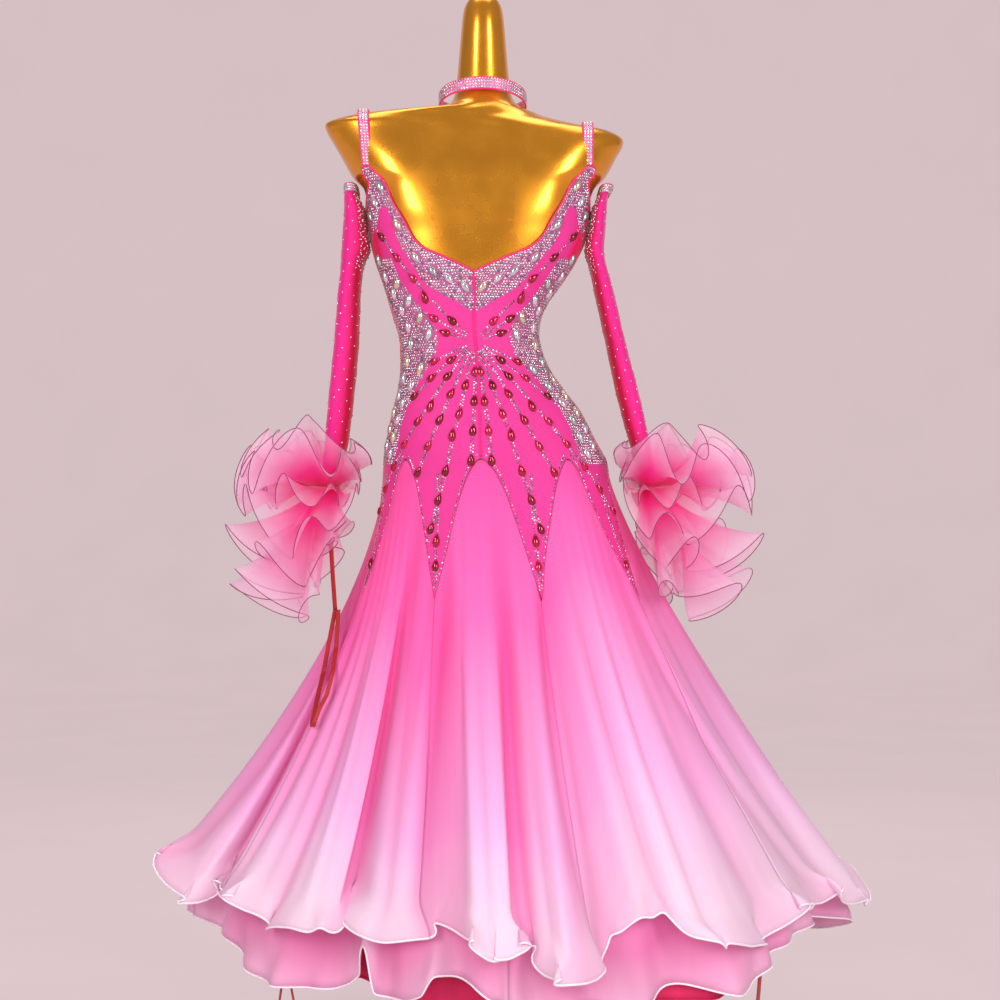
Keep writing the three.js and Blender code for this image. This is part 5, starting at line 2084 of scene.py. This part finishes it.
            name = "strap_" + strap.side
            cloth = Piece(name + "_cloth", surface, 90, 6, thick=1.6)
            self.put(cloth, Slot.BAND, [name], held="stretched", rests_on=["form_torso"])
            for end, across in (("inner", 7.2), ("outer", -7.2)):
                sign = 1 if strap.side == "left" else -1

                def edge(s: Array, strap: Strap = strap, across: float = across * sign) -> Array:
                    return strap.face(s, across, 0.7)

                cord = tube(f"{name}_{end}_edge", edge, 1.2, 90, False)
                self.put(cord, Slot.BAND, material=self.trim)

        def choker(s: Array, t: Array) -> Array:
            return CHOKER.point(2 * np.pi * s, 8.5 - 17 * t, 2)

        cloth = Piece("choker_cloth", choker, 96, 6, closed=True, thick=1.8)
        self.put(cloth, Slot.BAND, ["choker"], held="stretched", rests_on=["form_torso"])
        for name, up in (("low", -8.2), ("high", 8.4)):

            def rim(s: Array, up: float = up) -> Array:
                return CHOKER.point(2 * np.pi * s, up, 1.6)

            cord = tube(f"choker_{name}_edge", rim, 1.4, 120, True)
            self.put(cord, Slot.BAND, material=self.trim)

    def stones(self) -> None:
        """Builds every stone."""
        work = Decoration()
        for node, obj in work.set_stones():
            obj.data.materials.append(self.finish[Slot.STONE])
            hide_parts(node)
        work.lay()
        work.trim()
        for bed in work.beds.values():
            self.put(bed, Slot.STONE)

    def ribbons(self) -> None:
        """Builds the red ribbons along the same routes as the solids."""
        for name, path, across, half in ribbon_routes():
            run = lengths(path)

            def along(s: Array, path: Array = path, run: Array = run) -> Array:
                return np.stack([np.interp(s * run[-1], run, path[:, k]) for k in range(3)], -1)

            def surface(
                s: Array, t: Array, along=along, across: Array = across, half: float = half
            ) -> Array:
                return along(s) + (2 * t[:, None] - 1) * half * across

            cloth = Piece(name + "_cloth", surface, 90, 6, thick=1.0)
            obj = self.put(cloth, Slot.RIBBON, [name])
            if name == "ribbon_left_cuff":
                self.upper_strand(path[0])

    def upper_strand(self, low: Array) -> None:
        """Builds the ribbon's part inside the ruffle, from the cuff down to `low`."""
        top = np.array([-226.0, -4.0, 842.0])
        half = 3.2

        def surface(s: Array, t: Array) -> Array:
            line = top + (low - top) * s[:, None]
            line[:, 1] -= 14 * np.sin(np.pi * s)
            line[:, 0] += (2 * t - 1) * half
            return line

        obj = self.put(Piece("ribbon_left_cuff_upper", surface, 40, 4, thick=1.0), Slot.RIBBON)

    def studio(self) -> None:
        """Sets the floor and backdrop, the lights and the camera."""
        self.sweep()
        for lamp in LAMPS:
            lamp.hang()
        world = bpy.data.worlds.new("studio")
        world.use_nodes = True
        sky = world.node_tree.nodes["Background"].inputs
        sky[0].default_value, sky[1].default_value = (0.86, 0.78, 0.8, 1), 0.34
        bpy.context.scene.world = world
        camera = bpy.data.cameras.new("camera")
        camera.lens = LENS
        camera.sensor_width = SENSOR
        eye = bpy.data.objects.new("camera", camera)
        eye.location = EYE
        eye.rotation_euler = (math.radians(90), 0, 0)
        bpy.context.scene.collection.objects.link(eye)
        bpy.context.scene.camera = eye
        bpy.context.scene.view_settings.view_transform = "Standard"

    @staticmethod
    def sweep() -> None:
        """Builds the paper sweep: a floor that curves up into a wall."""
        n = Nodes("studio sweep")
        grain = n.noise((1, 1, 1), 3, 2, uv=False)

        def paper(low: float, high: float) -> Socket:
            tones = [tuple(c * share for c in SWEEP.tone) for share in (low, high)]
            return n.ramp(grain, list(zip((0.4, 0.6), tones)))

        finish = n.close(
            n.principled(
                {
                    "Base Color": paper(0.236, 0.24),
                    "Roughness": 0.9,
                    "Emission Color": paper(0.985, 1),
                    "Emission Strength": 0.88,
                    "Specular IOR Level": 0.0,
                }
            )
        )
        bpy.ops.mesh.primitive_grid_add(x_subdivisions=2, y_subdivisions=60, size=1)
        sheet = bpy.context.object
        sheet.name = "sweep"
        for vert in sheet.data.vertices:
            y, z = SWEEP.at((vert.co.y + 0.5) * SWEEP.run)
            vert.co = (vert.co.x * SWEEP.width, y, z - SWEEP.sink)
        sheet.data.shade_smooth()
        sheet.data.materials.append(finish)


def ribbon_routes() -> list[tuple[str, Array, Array, float]]:
    """Returns each ribbon's node name, line, width direction and half-width."""

    def back(x: float, z: float) -> float:
        v = np.arange(-88, 88.5, 0.5)
        p = GOWN.face(v, np.full_like(v, z))
        return float(min(0, p[np.abs(p[:, 0] - x) < 8, 1].min(initial=0)))

    def strand(rows: Sequence[tuple[float, float]], off: float) -> list[tuple[float, float, float]]:
        return [(x, min(-40, back(x, z) - 1.4) - off, z) for x, z in rows]

    rear = strand([(-214, 668), (-223, 620), (-231, 577), (-239, 532), (-244, 504)], 0)
    rising = [(-241, 504), (-233, 526), (-222, 547), (-215, 577), (-212, 613), (-209, 668)]
    front = strand(rising, 6)
    x, y, z = rear[-1]
    turn = [(x + 3 * t, y - 6 * t, z - 5 * math.sin(math.pi * t) - 1) for t in (0.15, 0.5, 0.85)]
    routes = [("ribbon_left_cuff", np.array([*rear, *turn, *front]), np.array([1.0, 0, 0]), 3.2)]
    # Half-width, then the bearing, height and inset of places down each tail.
    hanging = {
        "ribbon_left_hem_a": (
            3.2,
            [
                (-61.2, 232, 21.2),
                (-61.4, 190, 25),
                (-61.8, 150, 26),
                (-62.8, 120, 26),
                (-63.2, 78, 26),
            ],
        ),
        "ribbon_left_hem_b": (
            3.2,
            [
                (-60.2, 232, 21.2),
                (-59.9, 190, 25),
                (-59.4, 150, 26),
                (-58, 120, 26),
                (-57.4, 76, 26),
            ],
        ),
        "ribbon_right_hem": (
            5.5,
            [(59, 262, 25.5), (58.6, 215, 26.2), (58, 170, 27), (56.8, 125, 27), (55.8, 78, 27)],
        ),
    }
    for name, (half, rows) in hanging.items():
        bearing, z, inset = np.array(rows, float).T
        path = INSIDE.place(bearing, z, INSIDE.radius(z, bearing) - inset)
        a = math.radians(bearing.mean())
        routes.append((name, path, np.array([math.cos(a), math.sin(a), 0.0]), half))
    return routes


def main() -> None:
    """Builds the scene."""
    logging.basicConfig(level=logging.INFO, format="%(name)s %(message)s")
    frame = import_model()
    LOG.info("frame: %d nodes", len(frame["nodes"]))
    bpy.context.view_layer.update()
    scene = Scene()
    scene.form()
    scene.bodice()
    scene.skirt()
    scene.layers()
    scene.ruffles()
    scene.sleeves()
    scene.bands()
    scene.stones()
    scene.ribbons()
    scene.studio()


if __name__ == "__main__":
    main()
